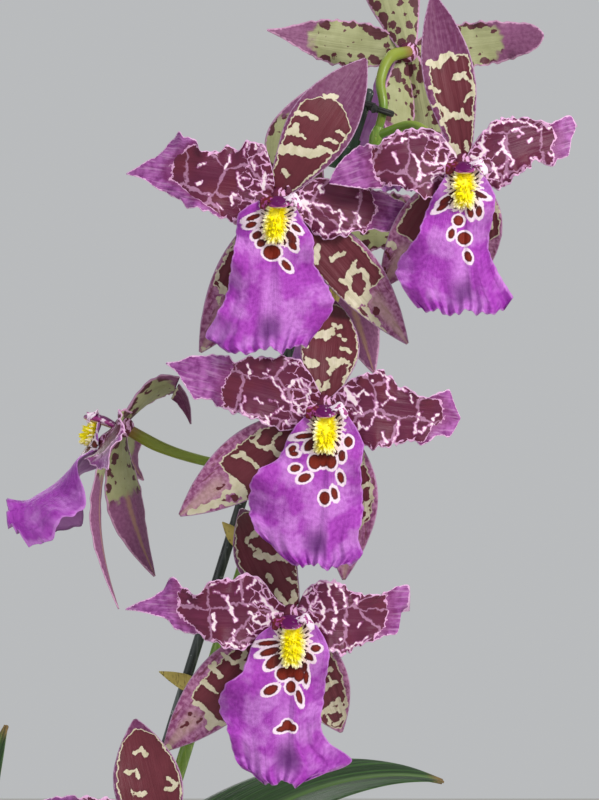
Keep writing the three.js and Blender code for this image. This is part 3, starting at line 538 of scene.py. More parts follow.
def sheet(front, back):
    """A closed skin over two like grids of points, and the faces of its front, back and rim."""
    rows, columns = front.shape[:2]
    at = np.arange(rows * columns).reshape(rows, columns)
    a, b, c, d = at[:-1, :-1], at[:-1, 1:], at[1:, 1:], at[1:, :-1]
    face = np.stack([a, b, c, d], -1).reshape(-1, 4)
    reverse = np.stack([a, d, c, b], -1).reshape(-1, 4) + rows * columns
    rim = np.concatenate([at[0, :-1], at[:-1, -1], at[-1, :0:-1], at[:0:-1, 0]])
    ahead = np.roll(rim, -1)
    edge = np.stack([rim, rim + rows * columns, ahead + rows * columns, ahead], -1)
    return np.concatenate([front.reshape(-1, 3), back.reshape(-1, 3)]), (face, reverse, edge)


bulb_skin = Finish("pseudobulb_skin", Roughness=0.42, Coat_Weight=0.12)
bulb_at = bulb_skin.place()
bulb_height = bulb_skin.part(bulb_at, "Z")
bulb_fibre = bulb_skin.grain(bulb_skin.scaled(bulb_at, (900, 900, 45)), 1.0, 4)
bulb_green = bulb_skin.blend(bulb_skin.grain(bulb_at, 45, 4), "4f7527", "86a043")
bulb_green = bulb_skin.tint(bulb_green, "a3b35c", bulb_fibre, 0.45, 0.7)
bulb_brown = bulb_skin.eased(bulb_skin.plus(bulb_height, bulb_skin.times(bulb_fibre, 0.02)), 0.148, 0.122)
bulb_green = bulb_skin.blend(bulb_skin.times(bulb_brown, 0.7), bulb_green, "7a5a35")
bulb_spot = bulb_skin.eased(bulb_skin.grain(bulb_at, 260, 2), 0.68, 0.74)
bulb_skin.colour(bulb_skin.blend(bulb_skin.times(bulb_spot, 0.7), bulb_green, "4a3520"))
bulb_skin.relief(bulb_fibre, 0.0006, 0.5)

straw = Finish("dry_sheath", Roughness=0.75)
straw_at = straw.place()
straw_fibre = straw.grain(straw.scaled(straw_at, (1100, 1100, 60)), 1.0, 4)
straw_body = straw.blend(straw.grain(straw_at, 40, 4), "8a6a43", "cbb283")
straw.colour(straw.tint(straw_body, "6b4c2c", straw_fibre, 0.5, 0.72))
straw.relief(straw_fibre, 0.0008, 0.7)

for name, bulb in BULBS.items():
    ring = np.linspace(0, 1, BULB_RINGS)[:, None]
    side = np.linspace(0, 2 * np.pi, BULB_SIDES, endpoint=False)
    points = bulb_surface(bulb, ring, side)
    poles = [[bulb["x"], bulb["y"], BULB_FOOT], [bulb["x"], bulb["y"], BULB_FOOT + bulb["height"]]]
    under_way = Piece()
    under_way.add(np.concatenate([points.reshape(-1, 3), poles]), tube_faces(BULB_RINGS, BULB_SIDES))
    stand(under_way.make(name + "_flesh", bulb_skin), "pseudobulb", name)
    under_way = Piece()
    for start, span, height in SHEATHS:
        across = np.linspace(-1, 1, 33)
        reach = np.linspace(0.02, 1, 25)[:, None] * height * (1 - 0.7 * np.abs(across) ** 3)
        reach = reach * (1 + 0.05 * np.sin(23 * across) + 0.04 * np.sin(51 * across + 1))
        loose = 0.5 + 2.2 * (reach / height) ** 3 + 0.25 * np.sin(17 * across)
        angle = start + span * (across + 1) / 2
        outer, inner = (bulb_surface(bulb, reach, angle, loose + gap) for gap in (0.35, 0))
        under_way.add(*sheet(outer, inner))
    stand(under_way.make(name + "_sheaths", straw), "pseudobulb")


# The leaves: leathery straps folded along a keeled midrib, dark green above and paler below, with parallel
# veins. The grown pseudobulbs bear two each and the old one bears one, two more clasp the front one's foot,
# and three make up the young shoot.

# heading turns from +X towards +Y, rise is the slope at the root, and arch is how far the leaf bends over,
# all in degrees. The higher its haste, the nearer to its tip a leaf bends.
LEAVES = {
    "leaf_bulb_right": {
        "base": (-12, 2, 193.4), "heading": 23, "rise": 58, "arch": 72,
        "haste": 2.6, "length": 313, "width": 42, "roll": -0.4,
    },
    "leaf_bulb_left": {
        "base": (-22.5, -2, 193.4), "heading": 165, "rise": 74, "arch": 96,
        "haste": 1.8, "length": 330, "width": 38,
    },
    "leaf_sheath_front": {
        "base": (-24, -18, 122), "heading": 236, "rise": 66, "arch": 100,
        "haste": 1.6, "length": 285, "width": 34,
    },
    "leaf_sheath_left": {
        "base": (-42, 4, 122), "heading": 186, "rise": 66, "arch": 104,
        "haste": 1.7, "length": 270, "width": 33,
    },
    "leaf_back_right": {
        "base": (16, 37, 185), "heading": 52, "rise": 66, "arch": 92,
        "haste": 1.9, "length": 285, "width": 36,
    },
    "leaf_back_left": {
        "base": (4, 36, 185), "heading": 128, "rise": 72, "arch": 100,
        "haste": 1.7, "length": 310, "width": 36,
    },
    "leaf_old_left": {
        "base": (-31, 31, 171), "heading": 148, "rise": 60, "arch": 96,
        "haste": 1.5, "length": 250, "width": 33,
    },
    "leaf_shoot_tall": {
        "base": (9, -34, 122), "heading": 49, "rise": 87, "arch": 22,
        "haste": 3, "length": 290, "width": 30,
    },
    "leaf_shoot_front": {
        "base": (4, -42, 120), "heading": -78, "rise": 74, "arch": 92,
        "haste": 1.9, "length": 220, "width": 30,
    },
    "leaf_shoot_right": {
        "base": (18, -36, 124), "heading": -22, "rise": 68, "arch": 84,
        "haste": 1.8, "length": 200, "width": 29,
    },
}
LEAF_THICKNESS = 1.1
LEAF_ROWS = 121
LEAF_COLUMNS = 33
LEAF_OUTLINE = [(0, 0.3), (0.2, 0.62), (0.45, 0.96), (0.65, 0.98), (0.85, 0.66), (0.95, 0.32), (1, 0.06)]


def crossed(a, b):
    """The cross product of two stacks of vectors of unlike depths."""
    return np.cross(*np.broadcast_arrays(a, b))


def pairs(words):
    """The pairs of numbers in a line of words."""
    return [tuple(map(float, word.split(","))) for word in words.split()]


def margin_at(blade, t, u):
    """How far a blade's margin lies from its middle line at t, on the side of u."""
    if "left" in blade:
        return np.where(u < 0, through(pairs(blade["right"]), t), through(pairs(blade["left"]), t))
    return blade["width"] / 2 * through(blade["outline"], t) * np.ones_like(u)


def blade_points(blade, t, u, lift=0.0):
    """Points on a petal, lip or leaf: t from root to tip, u from -1 to 1 across, lift off its middle."""
    t, u = np.broadcast_arrays(t, u)
    reach = t * blade["end"](u) if "end" in blade else t
    point, along, up = blade["spine"](reach)
    turn = blade.get("roll", 0.0) * np.ones_like(t)[..., None]
    right = crossed(along, up)
    across = right * np.cos(turn) + up * np.sin(turn)
    out = up * np.cos(turn) - right * np.sin(turn)
    half = margin_at(blade, t, u)
    crimps = np.sin(57 * t + 5 * blade.get("phase", 0)) + 0.7 * np.sin(101 * t + np.where(u < 0, 1, 3))
    half = half * (1 + blade.get("crimp", 0) * crimps * u**4 * np.sin(np.pi * t))
    wave = np.sin(2 * np.pi * blade.get("waves", 0) * t + blade.get("phase", 0) + np.where(u < 0, 2, 0))
    swell = np.sin(np.pi * np.minimum(1, t * 1.05 + 0.02)) ** 0.6
    cup = blade.get("cup", 0) + (blade.get("tip_cup", blade.get("cup", 0)) - blade.get("cup", 0)) * t
    height = half * (cup * u * u + blade.get("fold", 0) * np.abs(u))
    height = height + blade.get("wave", 0) * swell * wave * np.abs(u) ** 2.2
    height = height + blade.get("hook", 0) * np.maximum(0, (t - 0.6) / 0.4) ** 2 + lift
    if "frill" in blade:
        height = height + blade["frill"](t, u)
    sway = blade.get("sway", 0) * np.sin(np.pi * t)
    return point + across * (half * u + sway)[..., None] + out * height[..., None]


def arched_spine(base, heading, rise, arch, haste, length, **_):
    """A leaf's middle line, which starts at a slope and bends over faster and faster towards its tip."""
    heading = math.radians(heading)
    outward = np.array([math.cos(heading), math.sin(heading), 0])
    upward = np.array([0, 0, 1.0])
    steps = np.linspace(0, 1, 161)
    slope = np.radians(rise - arch * ((steps[1:] + steps[:-1]) / 2) ** haste)[:, None]
    strides = (outward * np.cos(slope) + upward * np.sin(slope)) * length / 160
    line = np.concatenate([[base], np.array(base) + np.cumsum(strides, axis=0)])

    def spine(t):
        slope = np.radians(rise - arch * t**haste)[..., None]
        point = np.stack([np.interp(t, steps, line[:, k]) for k in range(3)], -1)
        along = outward * np.cos(slope) + upward * np.sin(slope)
        up = upward * np.cos(slope) - outward * np.sin(slope)
        return point, along, up

    return spine


def rows_of_three(across, along, third):
    """Three grids or numbers over a blade, as one row for each of its points."""
    return np.stack(np.broadcast_arrays(across, along, third), -1).reshape(-1, 3)


def leaf_frill(t, u):
    """Low ridges along a leaf's veins, and the groove over its midrib."""
    return 0.12 * np.cos(11 * np.pi * u) * np.sin(np.pi * t) - 0.5 * np.exp(-((u / 0.07) ** 2))


green = Finish("leaf_green", Specular_IOR_Level=0.35)
leaf_flat = green.mark("flat", "Vector")
leaf_veins = green.grain(green.scaled(leaf_flat, (1.5, 0.012, 1.0)), 1.0, 3)
leaf_cells = green.grain(green.scaled(leaf_flat, (6.0, 0.25, 1.0)), 1.0, 2)
leaf_body = green.blend(green.grain(green.scaled(leaf_flat, (0.05, 0.02, 1.0)), 1.0, 4), "10240c", "213f16")
leaf_body = green.tint(leaf_body, "325521", leaf_veins, 0.42, 0.7)
leaf_body = green.blend(green.mark("midrib"), leaf_body, "55733a")
leaf_body = green.blend(green.times(green.mark("underside"), 0.55), leaf_body, "6d8f4c")
leaf_dry = green.plus(green.mark("tip"), green.times(leaf_veins, 0.03))
green.colour(green.tint(leaf_body, "7c6238", leaf_dry, 0.99, 1.015))
green.rough(leaf_cells, 0.38, 0.55)
green.relief(green.plus(leaf_veins, green.times(leaf_cells, 0.4)), 0.0004, 0.6)

for number, (name, leaf) in enumerate(LEAVES.items()):
    blade = {"fold": 0.34, "cup": -0.1, "outline": LEAF_OUTLINE, "frill": leaf_frill, **leaf}
    blade["spine"] = arched_spine(**leaf)
    t, u = np.linspace(0, 1, LEAF_ROWS)[:, None], np.linspace(-1, 1, LEAF_COLUMNS)
    half_thick = LEAF_THICKNESS / 2 * (1 - 0.72 * np.abs(u) ** 5)
    keel = 0.9 * np.exp(-((u / 0.08) ** 2)) * (1 - 0.8 * t)
    front = blade_points(blade, t, u, half_thick)
    back = blade_points(blade, t, u, -half_thick - keel)
    points, faces = sheet(front, back)
    half_width = leaf["width"] / 2 * through(LEAF_OUTLINE, t)
    flat = rows_of_three(half_width * u, leaf["length"] * t, 17.0 * number)
    tip, midrib = np.broadcast_arrays(t, np.exp(-((half_width * u / 0.9) ** 2)))
    under_way = Piece()
    under_way.add(
        points,
        faces,
        flat=np.concatenate([flat, flat]),
        tip=np.tile(tip.ravel(), 2),
        midrib=np.tile(midrib.ravel(), 2),
        underside=np.repeat([0.0, 1.0], tip.size),
    )
    stand(under_way.make(name.replace("leaf_", "strap_leaf_"), green), "leaf", name)


# The spike: one round green stem that rises from the foot of the front pseudobulb. Its joints are a little
# swollen, some with a dry scale. A short curved stalk leaves it for each bloom.

STAKE_FOOT = np.array([-23.5, 0, 20])
STAKE_TOP = np.array([168.6, 0, 638])
STAKE_WAY = (STAKE_TOP - STAKE_FOOT) / np.linalg.norm(STAKE_TOP - STAKE_FOOT)
SPIKE_ACROSS = np.array([STAKE_WAY[2], 0, -STAKE_WAY[0]])
SPIKE_GAP = 7.4
SPIKE_FOOT_RADIUS = 3
SPIKE_TIP_RADIUS = 1.7
SPIKE_FOOT_HEIGHT = 102
SPIKE_TIP_HEIGHT = 624
STALK_ROOT_RADIUS = 1.5
STALK_END_RADIUS = 2.1
# Each bloom's centre, and how it is turned from facing the viewer.
BLOOM_CENTRES = {
    "a": {"centre": (183, 22, 653.4), "yaw": 180},
    "b": {"centre": (200.2, -40, 608)},
    "c": {"centre": (135.8, -40, 596)},
    "d": {"centre": (151.7, -42, 523.3)},
    "e": {"centre": (140, -40, 450)},
    "f": {"centre": (78.2, -5, 516), "yaw": -90, "pitch": 30},
    "g": {"centre": (95.2, -38, 366.8)},
    "h": {"centre": (152.5, 32, 590), "yaw": 180},
}
# Each bloom stalk's height on the spike, and the points that it bends through.
STALKS = {
    "a": (620, (173.4, 0, 631), (172.5, 3, 641), (176, 8, 650)),
    "b": (621, (183, -8, 624), (192, -22, 617)),
    "c": (573, (150, -8, 583), (141, -22, 593)),
    "d": (503, (139.5, -10, 512), (147, -25, 521)),
    "e": (424, (121, -8, 436), (134, -22, 447)),
    "f": (500, (126, -6.5, 500.5), (109, -8, 503), (93, -7, 508)),
    "g": (346, (89.5, -8, 355), (93.5, -22, 364)),
    "h": (560, (152, 8, 572), (152.5, 18, 586)),
}
# Each dry scale's height on the spike, and its bend and tip from there.
BRACTS = [
    {"from": 419, "by": (-4, -5.4, 3), "tip": (-16, -6, 8), "width": 6},
    {"from": 470, "by": (-3, -5.2, 4), "tip": (-9, -6, 11), "width": 6},
    {"from": 342, "by": (3, 3, 4), "tip": (5, 4, 13), "width": 6},
    {"from": 270, "by": (3, -2, 6), "tip": (6, -3, 19), "width": 7},
    {"from": 200, "by": (3, 2, 7), "tip": (6, 3, 21), "width": 8},
    {"from": 556, "by": (3, -2, 4), "tip": (8, -2, 12), "width": 6},
]


def spike_at(height):
    """The middle of the spike at a height: it runs beside the stake at an even distance."""
    share = (height - SPIKE_GAP * SPIKE_ACROSS[2]) / STAKE_WAY[2]
    x = STAKE_FOOT[0] + SPIKE_ACROSS[0] * SPIKE_GAP + (share - STAKE_FOOT[2] / STAKE_WAY[2]) * STAKE_WAY[0]
    return np.array([x, 0, height])


def bloom_axes(yaw=0, pitch=0, **_):
    """A bloom's own directions: right and up in its face, and front."""
    turn = Matrix.Rotation(math.radians(yaw), 3, "Z") @ Matrix.Rotation(math.radians(-pitch), 3, "X")
    return tuple(np.array(turn @ Vector(way)) for way in ((1, 0, 0), (0, 0, 1), (0, -1, 0)))


def in_bloom(bloom, right, up, front):
    """A point of a bloom from its centre, in its own directions."""
    axes = bloom_axes(**bloom)
    return np.array(bloom["centre"], float) + right * axes[0] + up * axes[1] + front * axes[2]


def curve_through(points, steps):
    """A smooth curve through points that doesn't swing wide where they lie close together."""
    points = np.array(points, float)
    points = np.concatenate([[2 * points[0] - points[1]], points, [2 * points[-1] - points[-2]]])
    knots = np.concatenate([[0], np.cumsum(np.sqrt(np.linalg.norm(np.diff(points, axis=0), axis=1)))])
    curve = [points[1:2]]
    for i in range(len(points) - 3):
        at, near = knots[i : i + 4], points[i : i + 4]
        t = np.linspace(at[1], at[2], steps + 1)[1:, None]

        def between(a, b, start, end):
            return a + (b - a) * (t - start) / (end - start)

        first, second, third = (between(near[k], near[k + 1], at[k], at[k + 1]) for k in range(3))
        early, late = between(first, second, at[0], at[2]), between(second, third, at[1], at[3])
        curve.append(between(early, late, at[1], at[2]))
    return np.concatenate(curve)


# Every rod on the plant is a round section carried along its middle line, which gives its girth all along.
rod_growth = Growth("rod_along_line", Sides=16)
rod_line = rod_growth.node("MeshToCurve", {0: rod_growth.size("Geometry")})
rod_girth = rod_growth.node("InputNamedAttribute", {"Name": "girth"}, data_type="FLOAT")
rod_section = rod_growth.node("CurvePrimitiveCircle", {"Resolution": rod_growth.size("Sides"), "Radius": 1.0})
rod_parts = {"Curve": rod_line, "Profile Curve": rod_section, "Scale": rod_girth, "Fill Caps": True}
rod_skin = rod_growth.node("CurveToMesh", rod_parts)
rod_skin = rod_growth.node("SetShadeSmooth", {"Geometry": rod_skin, "Shade Smooth": True})
rod_growth.tree.links.new(rod_skin, rod_growth.tree.nodes.new("NodeGroupOutput").inputs[0])


def lay_rods(name, lines, finish, sides=16):
    """Lays rods along lines of (points, girths), in millimetres."""
    points = np.concatenate([line for line, _ in lines]) / 1000
    girth = np.concatenate([np.broadcast_to(girth, len(line)) for line, girth in lines]) / 1000
    along = np.concatenate([np.linspace(0, 1, len(line)) for line, _ in lines])
    ends = np.cumsum([len(line) for line, _ in lines])
    edges = [(i, i + 1) for i in range(len(points) - 1) if i + 1 not in ends]
    mesh = bpy.data.meshes.new(name + "_lines")
    mesh.from_pydata(points.tolist(), edges, [])
    for mark, values in (("girth", girth), ("along", along)):
        mesh.attributes.new(mark, "FLOAT", "POINT").data.foreach_set("value", values.astype(np.float32))
    start = bpy.data.objects.new(name + "_lines", mesh)
    bpy.context.scene.collection.objects.link(start)
    piece = grow(name, start, rod_growth, Sides=sides)
    piece.data.materials.clear()
    piece.data.materials.append(finish.material)
    return piece


stem_green = Finish("spike_green", Roughness=0.4, Coat_Weight=0.1)
stem_at = stem_green.place()
stem_fibre = stem_green.grain(stem_green.scaled(stem_at, (1400, 1400, 60)), 1.0, 3)
stem_body = stem_green.blend(stem_green.grain(stem_at, 30, 3), "55802a", "8aab3e")
stem_body = stem_green.tint(stem_body, "a5bd58", stem_fibre, 0.45, 0.75)
stem_freckle = stem_green.eased(stem_green.grain(stem_at, 700, 1), 0.66, 0.74)
stem_green.colour(stem_green.blend(stem_green.times(stem_freckle, 0.6), stem_body, "5c4a2a"))
stem_green.relief(stem_fibre, 0.0003, 0.5)

stem_heights = np.linspace(SPIKE_FOOT_HEIGHT, SPIKE_TIP_HEIGHT, 260)
stem_line = np.array([spike_at(height) for height in stem_heights])
stem_line[:, 1] += 0.25 * np.sin((stem_heights - SPIKE_FOOT_HEIGHT) * 0.06)
stem_girth = np.linspace(SPIKE_FOOT_RADIUS, SPIKE_TIP_RADIUS, len(stem_heights))
for joint in [stalk[0] for stalk in STALKS.values()] + [bract["from"] for bract in BRACTS]:
    stem_girth = stem_girth + 0.45 * np.exp(-(((stem_heights - joint) / 2.6) ** 2))
stem = lay_rods("spike_stem", [(stem_line, stem_girth)], stem_green, 24)
stand(stem, "spike", "spike")

# A stalk thickens into the bloom's ovary, which is yellower and blushes brown where it meets the bloom.
stalk_skin = Finish("stalk_skin", Roughness=0.42, Coat_Weight=0.1)
stalk_at = stalk_skin.place()
stalk_along = stalk_skin.mark("along")
stalk_body = stalk_skin.blend(stalk_along, "62942c", "8f962a")
stalk_patch = stalk_skin.eased(stalk_skin.grain(stalk_at, 90, 3), 0.4, 0.7)
stalk_body = stalk_skin.blend(stalk_patch, stalk_body, "7d8a24")
# Painted highlight: the stalks are lightened in colour where they face upwards, as if lit from above.
stalk_up = stalk_skin.part(stalk_skin.node("NewGeometry", output="Normal"), "Z")
stalk_painted_highlight = stalk_skin.times(stalk_skin.eased(stalk_up, 0.1, 0.9), 0.25)
stalk_body = stalk_skin.blend(stalk_painted_highlight, stalk_body, "a9b655")
stalk_blush = stalk_skin.times(stalk_skin.eased(stalk_along, 0.86, 1.0), 0.75)
stalk_skin.colour(stalk_skin.blend(stalk_blush, stalk_body, "8e5a3a"))
stalk_skin.relief(stalk_skin.grain(stalk_at, 420, 3), 0.0003, 0.4)

stalk_lines = []
for name, (foot, *by) in STALKS.items():
    line = curve_through([spike_at(foot), *by, in_bloom(BLOOM_CENTRES[name], 0, 0, -4)], 14)
    along = np.linspace(0, 1, len(line))
    girth = STALK_ROOT_RADIUS + (STALK_END_RADIUS - STALK_ROOT_RADIUS) * along
    girth = girth + 0.3 * np.exp(-((along / 0.05) ** 2)) + 0.25 * np.exp(-(((along - 0.82) / 0.12) ** 2))
    stalk_lines.append((line, girth))
stand(lay_rods("bloom_stalks", stalk_lines, stalk_skin, 18), "spike", "spike")


def bent_spine(base, bend, tip, face):
    """A blade's middle line as one bend from base to tip, with its upper side towards face."""
    base, bend, tip, face = (np.array(point, float) for point in (base, bend, tip, face))

    def spine(t):
        t = t[..., None]
        along = 2 * (1 - t) * (bend - base) + 2 * t * (tip - bend)
        along = along / np.linalg.norm(along, axis=-1, keepdims=True)
        up = face - along * (along @ face)[..., None]
        up = up / np.linalg.norm(up, axis=-1, keepdims=True)
        return (1 - t) ** 2 * base + 2 * t * (1 - t) * bend + t * t * tip, along, up

    return spine


SEPAL_OUTLINE = [(0, 0.34), (0.15, 0.62), (0.4, 0.98), (0.6, 0.95), (0.8, 0.62), (0.93, 0.28), (1, 0.06)]
scale_skin = Finish("dry_scale", Roughness=0.6)
scale_at = scale_skin.place()
scale_fibre = scale_skin.grain(scale_skin.scaled(scale_at, (1200, 1200, 150)), 1.0, 3)
scale_body = scale_skin.blend(scale_skin.grain(scale_at, 160, 3), "b9a24a", "e3d37c")
scale_skin.colour(scale_skin.tint(scale_body, "7d6a35", scale_fibre, 0.5, 0.75))
scale_skin.relief(scale_fibre, 0.0004, 0.6)
under_way = Piece()
for bract in BRACTS:
    root = spike_at(bract["from"])
    outward = np.array([bract["by"][0] * 0.3, bract["by"][1], 0])
    face = -outward / np.linalg.norm(outward)
    spine = bent_spine(root, root + bract["by"], root + bract["tip"], face)
    blade = {"spine": spine, "width": bract["width"], "cup": 0.3, "outline": SEPAL_OUTLINE}
    t, u = np.linspace(0, 1, 29)[:, None], np.linspace(-1, 1, 15)
    half_thick = 0.35 * (1 - 0.6 * np.abs(u) ** 3)
    under_way.add(*sheet(blade_points(blade, t, u, half_thick), blade_points(blade, t, u, -half_thick)))
stand(under_way.make("spike_scales", scale_skin), "spike", "spike")


# The stake: steel wire in a dark green plastic coat, 3.8 mm thick in all. Grey streaks along the stake are a
# painted highlight, and the coat is flecked pale grey. Its foot is drawn to a blunt point and its top is
# domed.

STAKE_RADIUS = 1.9
STAKE_POINT = 9

coated_steel = Finish("coated_steel", Roughness=0.35, Coat_Weight=0.2)
stake_at = coated_steel.place()
# Painted highlight: grey streaks along the stake lighten the coat, as if it caught the light.
stake_highlight_streak = coated_steel.grain(coated_steel.scaled(stake_at, (420, 420, 22)), 1.0, 4)
stake_body = coated_steel.blend(coated_steel.grain(stake_at, 60, 3), "161f1d", "2b3835")
stake_body = coated_steel.tint(stake_body, "6d7673", stake_highlight_streak, 0.52, 0.75)
stake_pale_fleck = coated_steel.eased(coated_steel.grain(stake_at, 500, 2), 0.66, 0.74)
coated_steel.colour(coated_steel.blend(stake_pale_fleck, stake_body, "97a19c"))
coated_steel.rough(stake_highlight_streak, 0.25, 0.6)
coated_steel.relief(coated_steel.grain(stake_at, 700, 3), 0.0003, 0.5)

stake_length = np.linalg.norm(STAKE_TOP - STAKE_FOOT)
stake_shaft = np.linspace(14, stake_length - 3, 120)
stake_dome = stake_length - STAKE_RADIUS * (1 - np.sin(np.linspace(0.1, 1.5, 7)))
stake_along = np.concatenate([np.linspace(0, STAKE_POINT, 8), stake_shaft, stake_dome])
stake_girth = STAKE_RADIUS * np.clip(stake_along / STAKE_POINT, 0.06, 1) ** 0.8
up_the_dome = ((stake_along - stake_length + STAKE_RADIUS) / STAKE_RADIUS).clip(0)
stake_girth = stake_girth * np.sqrt(np.clip(1 - up_the_dome**2, 0.004, 1))
stake_line = STAKE_FOOT + stake_along[:, None] * STAKE_WAY
stand(lay_rods("stake_rod", [(stake_line, stake_girth)], coated_steel, 28), "stake", "stake")


# The clips: sprung dark green plastic, moulded with one eye for the stake and one for the spike. Two ribbed
# finger tabs pinch together behind them to open the eyes.

CLIPS = {"clip_upper": 612, "clip_middle": 521, "clip_lower": 306}
CLIP_HEIGHT = 8
CLIP_WALL = 1.4
TAB_TURN = 24
TAB_HALF_WALL = 0.75
TAB_RIB = 0.45
TAB_RIB_SPACING = 3
SPIKE_EYE = SPIKE_FOOT_RADIUS + 0.7
STAKE_EYE = STAKE_RADIUS + 0.6

green_plastic = Finish("green_plastic", Roughness=0.4, Coat_Weight=0.1)
plastic_at = green_plastic.place()
plastic_body = green_plastic.blend(green_plastic.grain(plastic_at, 120, 3), "12281a", "264a2e")
plastic_scuff = green_plastic.eased(green_plastic.grain(plastic_at, 520, 2), 0.62, 0.74)
green_plastic.colour(green_plastic.blend(plastic_scuff, plastic_body, "58785a"))
green_plastic.rough(green_plastic.grain(plastic_at, 300), 0.3, 0.55)
green_plastic.relief(green_plastic.grain(plastic_at, 1500, 2), 0.0002, 0.5)


def on_stake(points, height):
    """Points drawn standing at the origin, with +X towards the spike, carried up to the stake."""
    share = (height - STAKE_FOOT[2]) / (STAKE_TOP[2] - STAKE_FOOT[2])
    place = STAKE_FOOT + (STAKE_TOP - STAKE_FOOT) * share
    return place + np.asarray(points) @ np.array([SPIKE_ACROSS, [0, 1, 0], STAKE_WAY])


def clip_post(radius, height, x):
    """A round post as high as the clip or its bore, at x from the stake."""
    half = height / 2
    points, faces = turned([(0, -half), (radius, -half), (radius, half), (0, half)], 40)
    return points + [x, 0, 0], faces


def clip_tab(turn):
    """A finger tab with three ribs across its outer side."""
    x = np.linspace(-17, -2, 61)
    side = math.copysign(1, turn)
    rib = TAB_RIB * (np.cos(2 * np.pi * (x + 16) / TAB_RIB_SPACING) > 0.3) * (x < -8)
    outer, inner = TAB_HALF_WALL + rib, np.full_like(x, -TAB_HALF_WALL)
    levels = np.linspace(-CLIP_HEIGHT / 2, CLIP_HEIGHT / 2, 5)
    grids = []
    for y in (outer, inner):
        edge = np.stack([x, side * y, 0 * x], -1)
        grids.append(np.stack([edge + [0, 0, z] for z in levels], 1))
    front, back = grids if side < 0 else grids[::-1]
    points, faces = sheet(front, back)
    spin = np.array([[math.cos(turn), math.sin(turn), 0], [-math.sin(turn), math.cos(turn), 0], [0, 0, 1]])
    return points @ spin, faces


def one_solid(name, points_and_faces, height):
    """One of a clip's solids as an object of its own, at its height on the stake."""
    under_way = Piece()
    points, faces = points_and_faces
    under_way.add(on_stake(points, height), faces)
    return under_way.make(name, green_plastic)


for name, height in CLIPS.items():
    clip = one_solid(name + "_moulding", clip_post(STAKE_EYE + CLIP_WALL, CLIP_HEIGHT, 0), height)
    cut_out(clip, one_solid("eye", clip_post(SPIKE_EYE + CLIP_WALL, CLIP_HEIGHT, SPIKE_GAP), height), "UNION")
    for turn in (-TAB_TURN, TAB_TURN):
        cut_out(clip, one_solid("tab", clip_tab(math.radians(turn)), height), "UNION")
    cut_out(clip, one_solid("bore", clip_post(STAKE_EYE, CLIP_HEIGHT * 2, 0), height))
    cut_out(clip, one_solid("bore", clip_post(SPIKE_EYE, CLIP_HEIGHT * 2, SPIKE_GAP), height))
    clip.data.polygons.foreach_set("use_smooth", [False] * len(clip.data.polygons))
    rounding = clip.modifiers.new("rounding", "BEVEL")
    rounding.width = 0.0003
    rounding.segments = 2
    rounding.limit_method = "ANGLE"
    rounding.angle_limit = math.radians(40)
    stand(clip, "clip", name)


# The tie: black garden wire in a rubber skin, wound twice round the spike's tip and the stake. Its ends are
# twisted together in front.

TIE_HEIGHT = 632
TIE_GIRTH = 0.75
TIE_TURNS = 2
TAIL_GIRTH = 0.55
TAIL_LENGTH = 7

rubber = Finish("tie_rubber", Roughness=0.55)
rubber_at = rubber.place()
rubber.colour(rubber.blend(rubber.grain(rubber_at, 300, 3), "0c0c0d", "2a2928"))
rubber.relief(rubber.grain(rubber_at, 1800, 2), 0.0002, 0.6)

turns = np.linspace(0, TIE_TURNS, 121)
tie_reach = STAKE_RADIUS + 0.4 + TIE_GIRTH
tie_angle = 2 * np.pi * turns - np.pi / 2
tie_line = np.stack(
    [
        SPIKE_GAP / 2 + np.tanh(3 * np.cos(tie_angle)) * SPIKE_GAP / 2 + tie_reach * np.cos(tie_angle),
        tie_reach * np.sin(tie_angle),
        (turns - TIE_TURNS / 2) * TIE_GIRTH,
    ],
    -1,
)
twist = np.linspace(0, 1, 30)
tie_tails = []
for side in (0, np.pi):
    curl = 0.7 * np.stack([np.cos(14 * twist + side), 0 * twist, np.sin(14 * twist + side)], -1)
    tail = [SPIKE_GAP / 2, -tie_reach, 0] + curl * (1 - 0.3 * twist[:, None])
    tail = tail + np.stack([0 * twist, -TAIL_LENGTH * twist, -2 * twist], -1)
    tie_tails.append((on_stake(tail, TIE_HEIGHT), TAIL_GIRTH))
tie_wound = (on_stake(tie_line, TIE_HEIGHT), TIE_GIRTH)
stand(lay_rods("wire_tie", [tie_wound, *tie_tails], rubber, 10), "tie", "tie")


# The petals and sepals: two broad waved petals, a hooded upper sepal and two lower ones, fused to one small
# core behind each bloom. Petals are maroon, netted with pale cracks, and purple at the tip. Sepals are barred
# with cream.

# A tip is (right, up, front) of the bloom's centre, and bow how far the middle stands before a straight line
# to the tip. purple is where the plain purple end begins: its place along, how that slants across, and how it
# falls back at the edges. Each mark is its width and its points (right,up): pale, or maroon where the width
# is below 0.
OUTLINE_FOOT = [(0, 0.3), (0.12, 0.7), (0.3, 1)]
PETAL_OUTLINE = OUTLINE_FOOT + [(0.5, 0.93), (0.66, 0.75), (0.78, 0.5), (0.89, 0.22), (1, 0.04)]
BLUNT_OUTLINE = OUTLINE_FOOT + [(0.6, 0.93), (0.8, 0.76), (0.9, 0.62), (0.96, 0.4), (1, 0.1)]
PETAL = {
    "width": 24, "bow": 4, "cup": 0.1, "wave": 2.4, "waves": 2.1, "crimp": 0.045,
    "outline": PETAL_OUTLINE, "purple": (0.64, 0, 0.1),
}
SEPAL = {
    "width": 21, "bow": 4, "cup": 0.16, "wave": 0.5, "waves": 1.4,
    "outline": SEPAL_OUTLINE, "purple": (0.7, 0, 0.1),
}
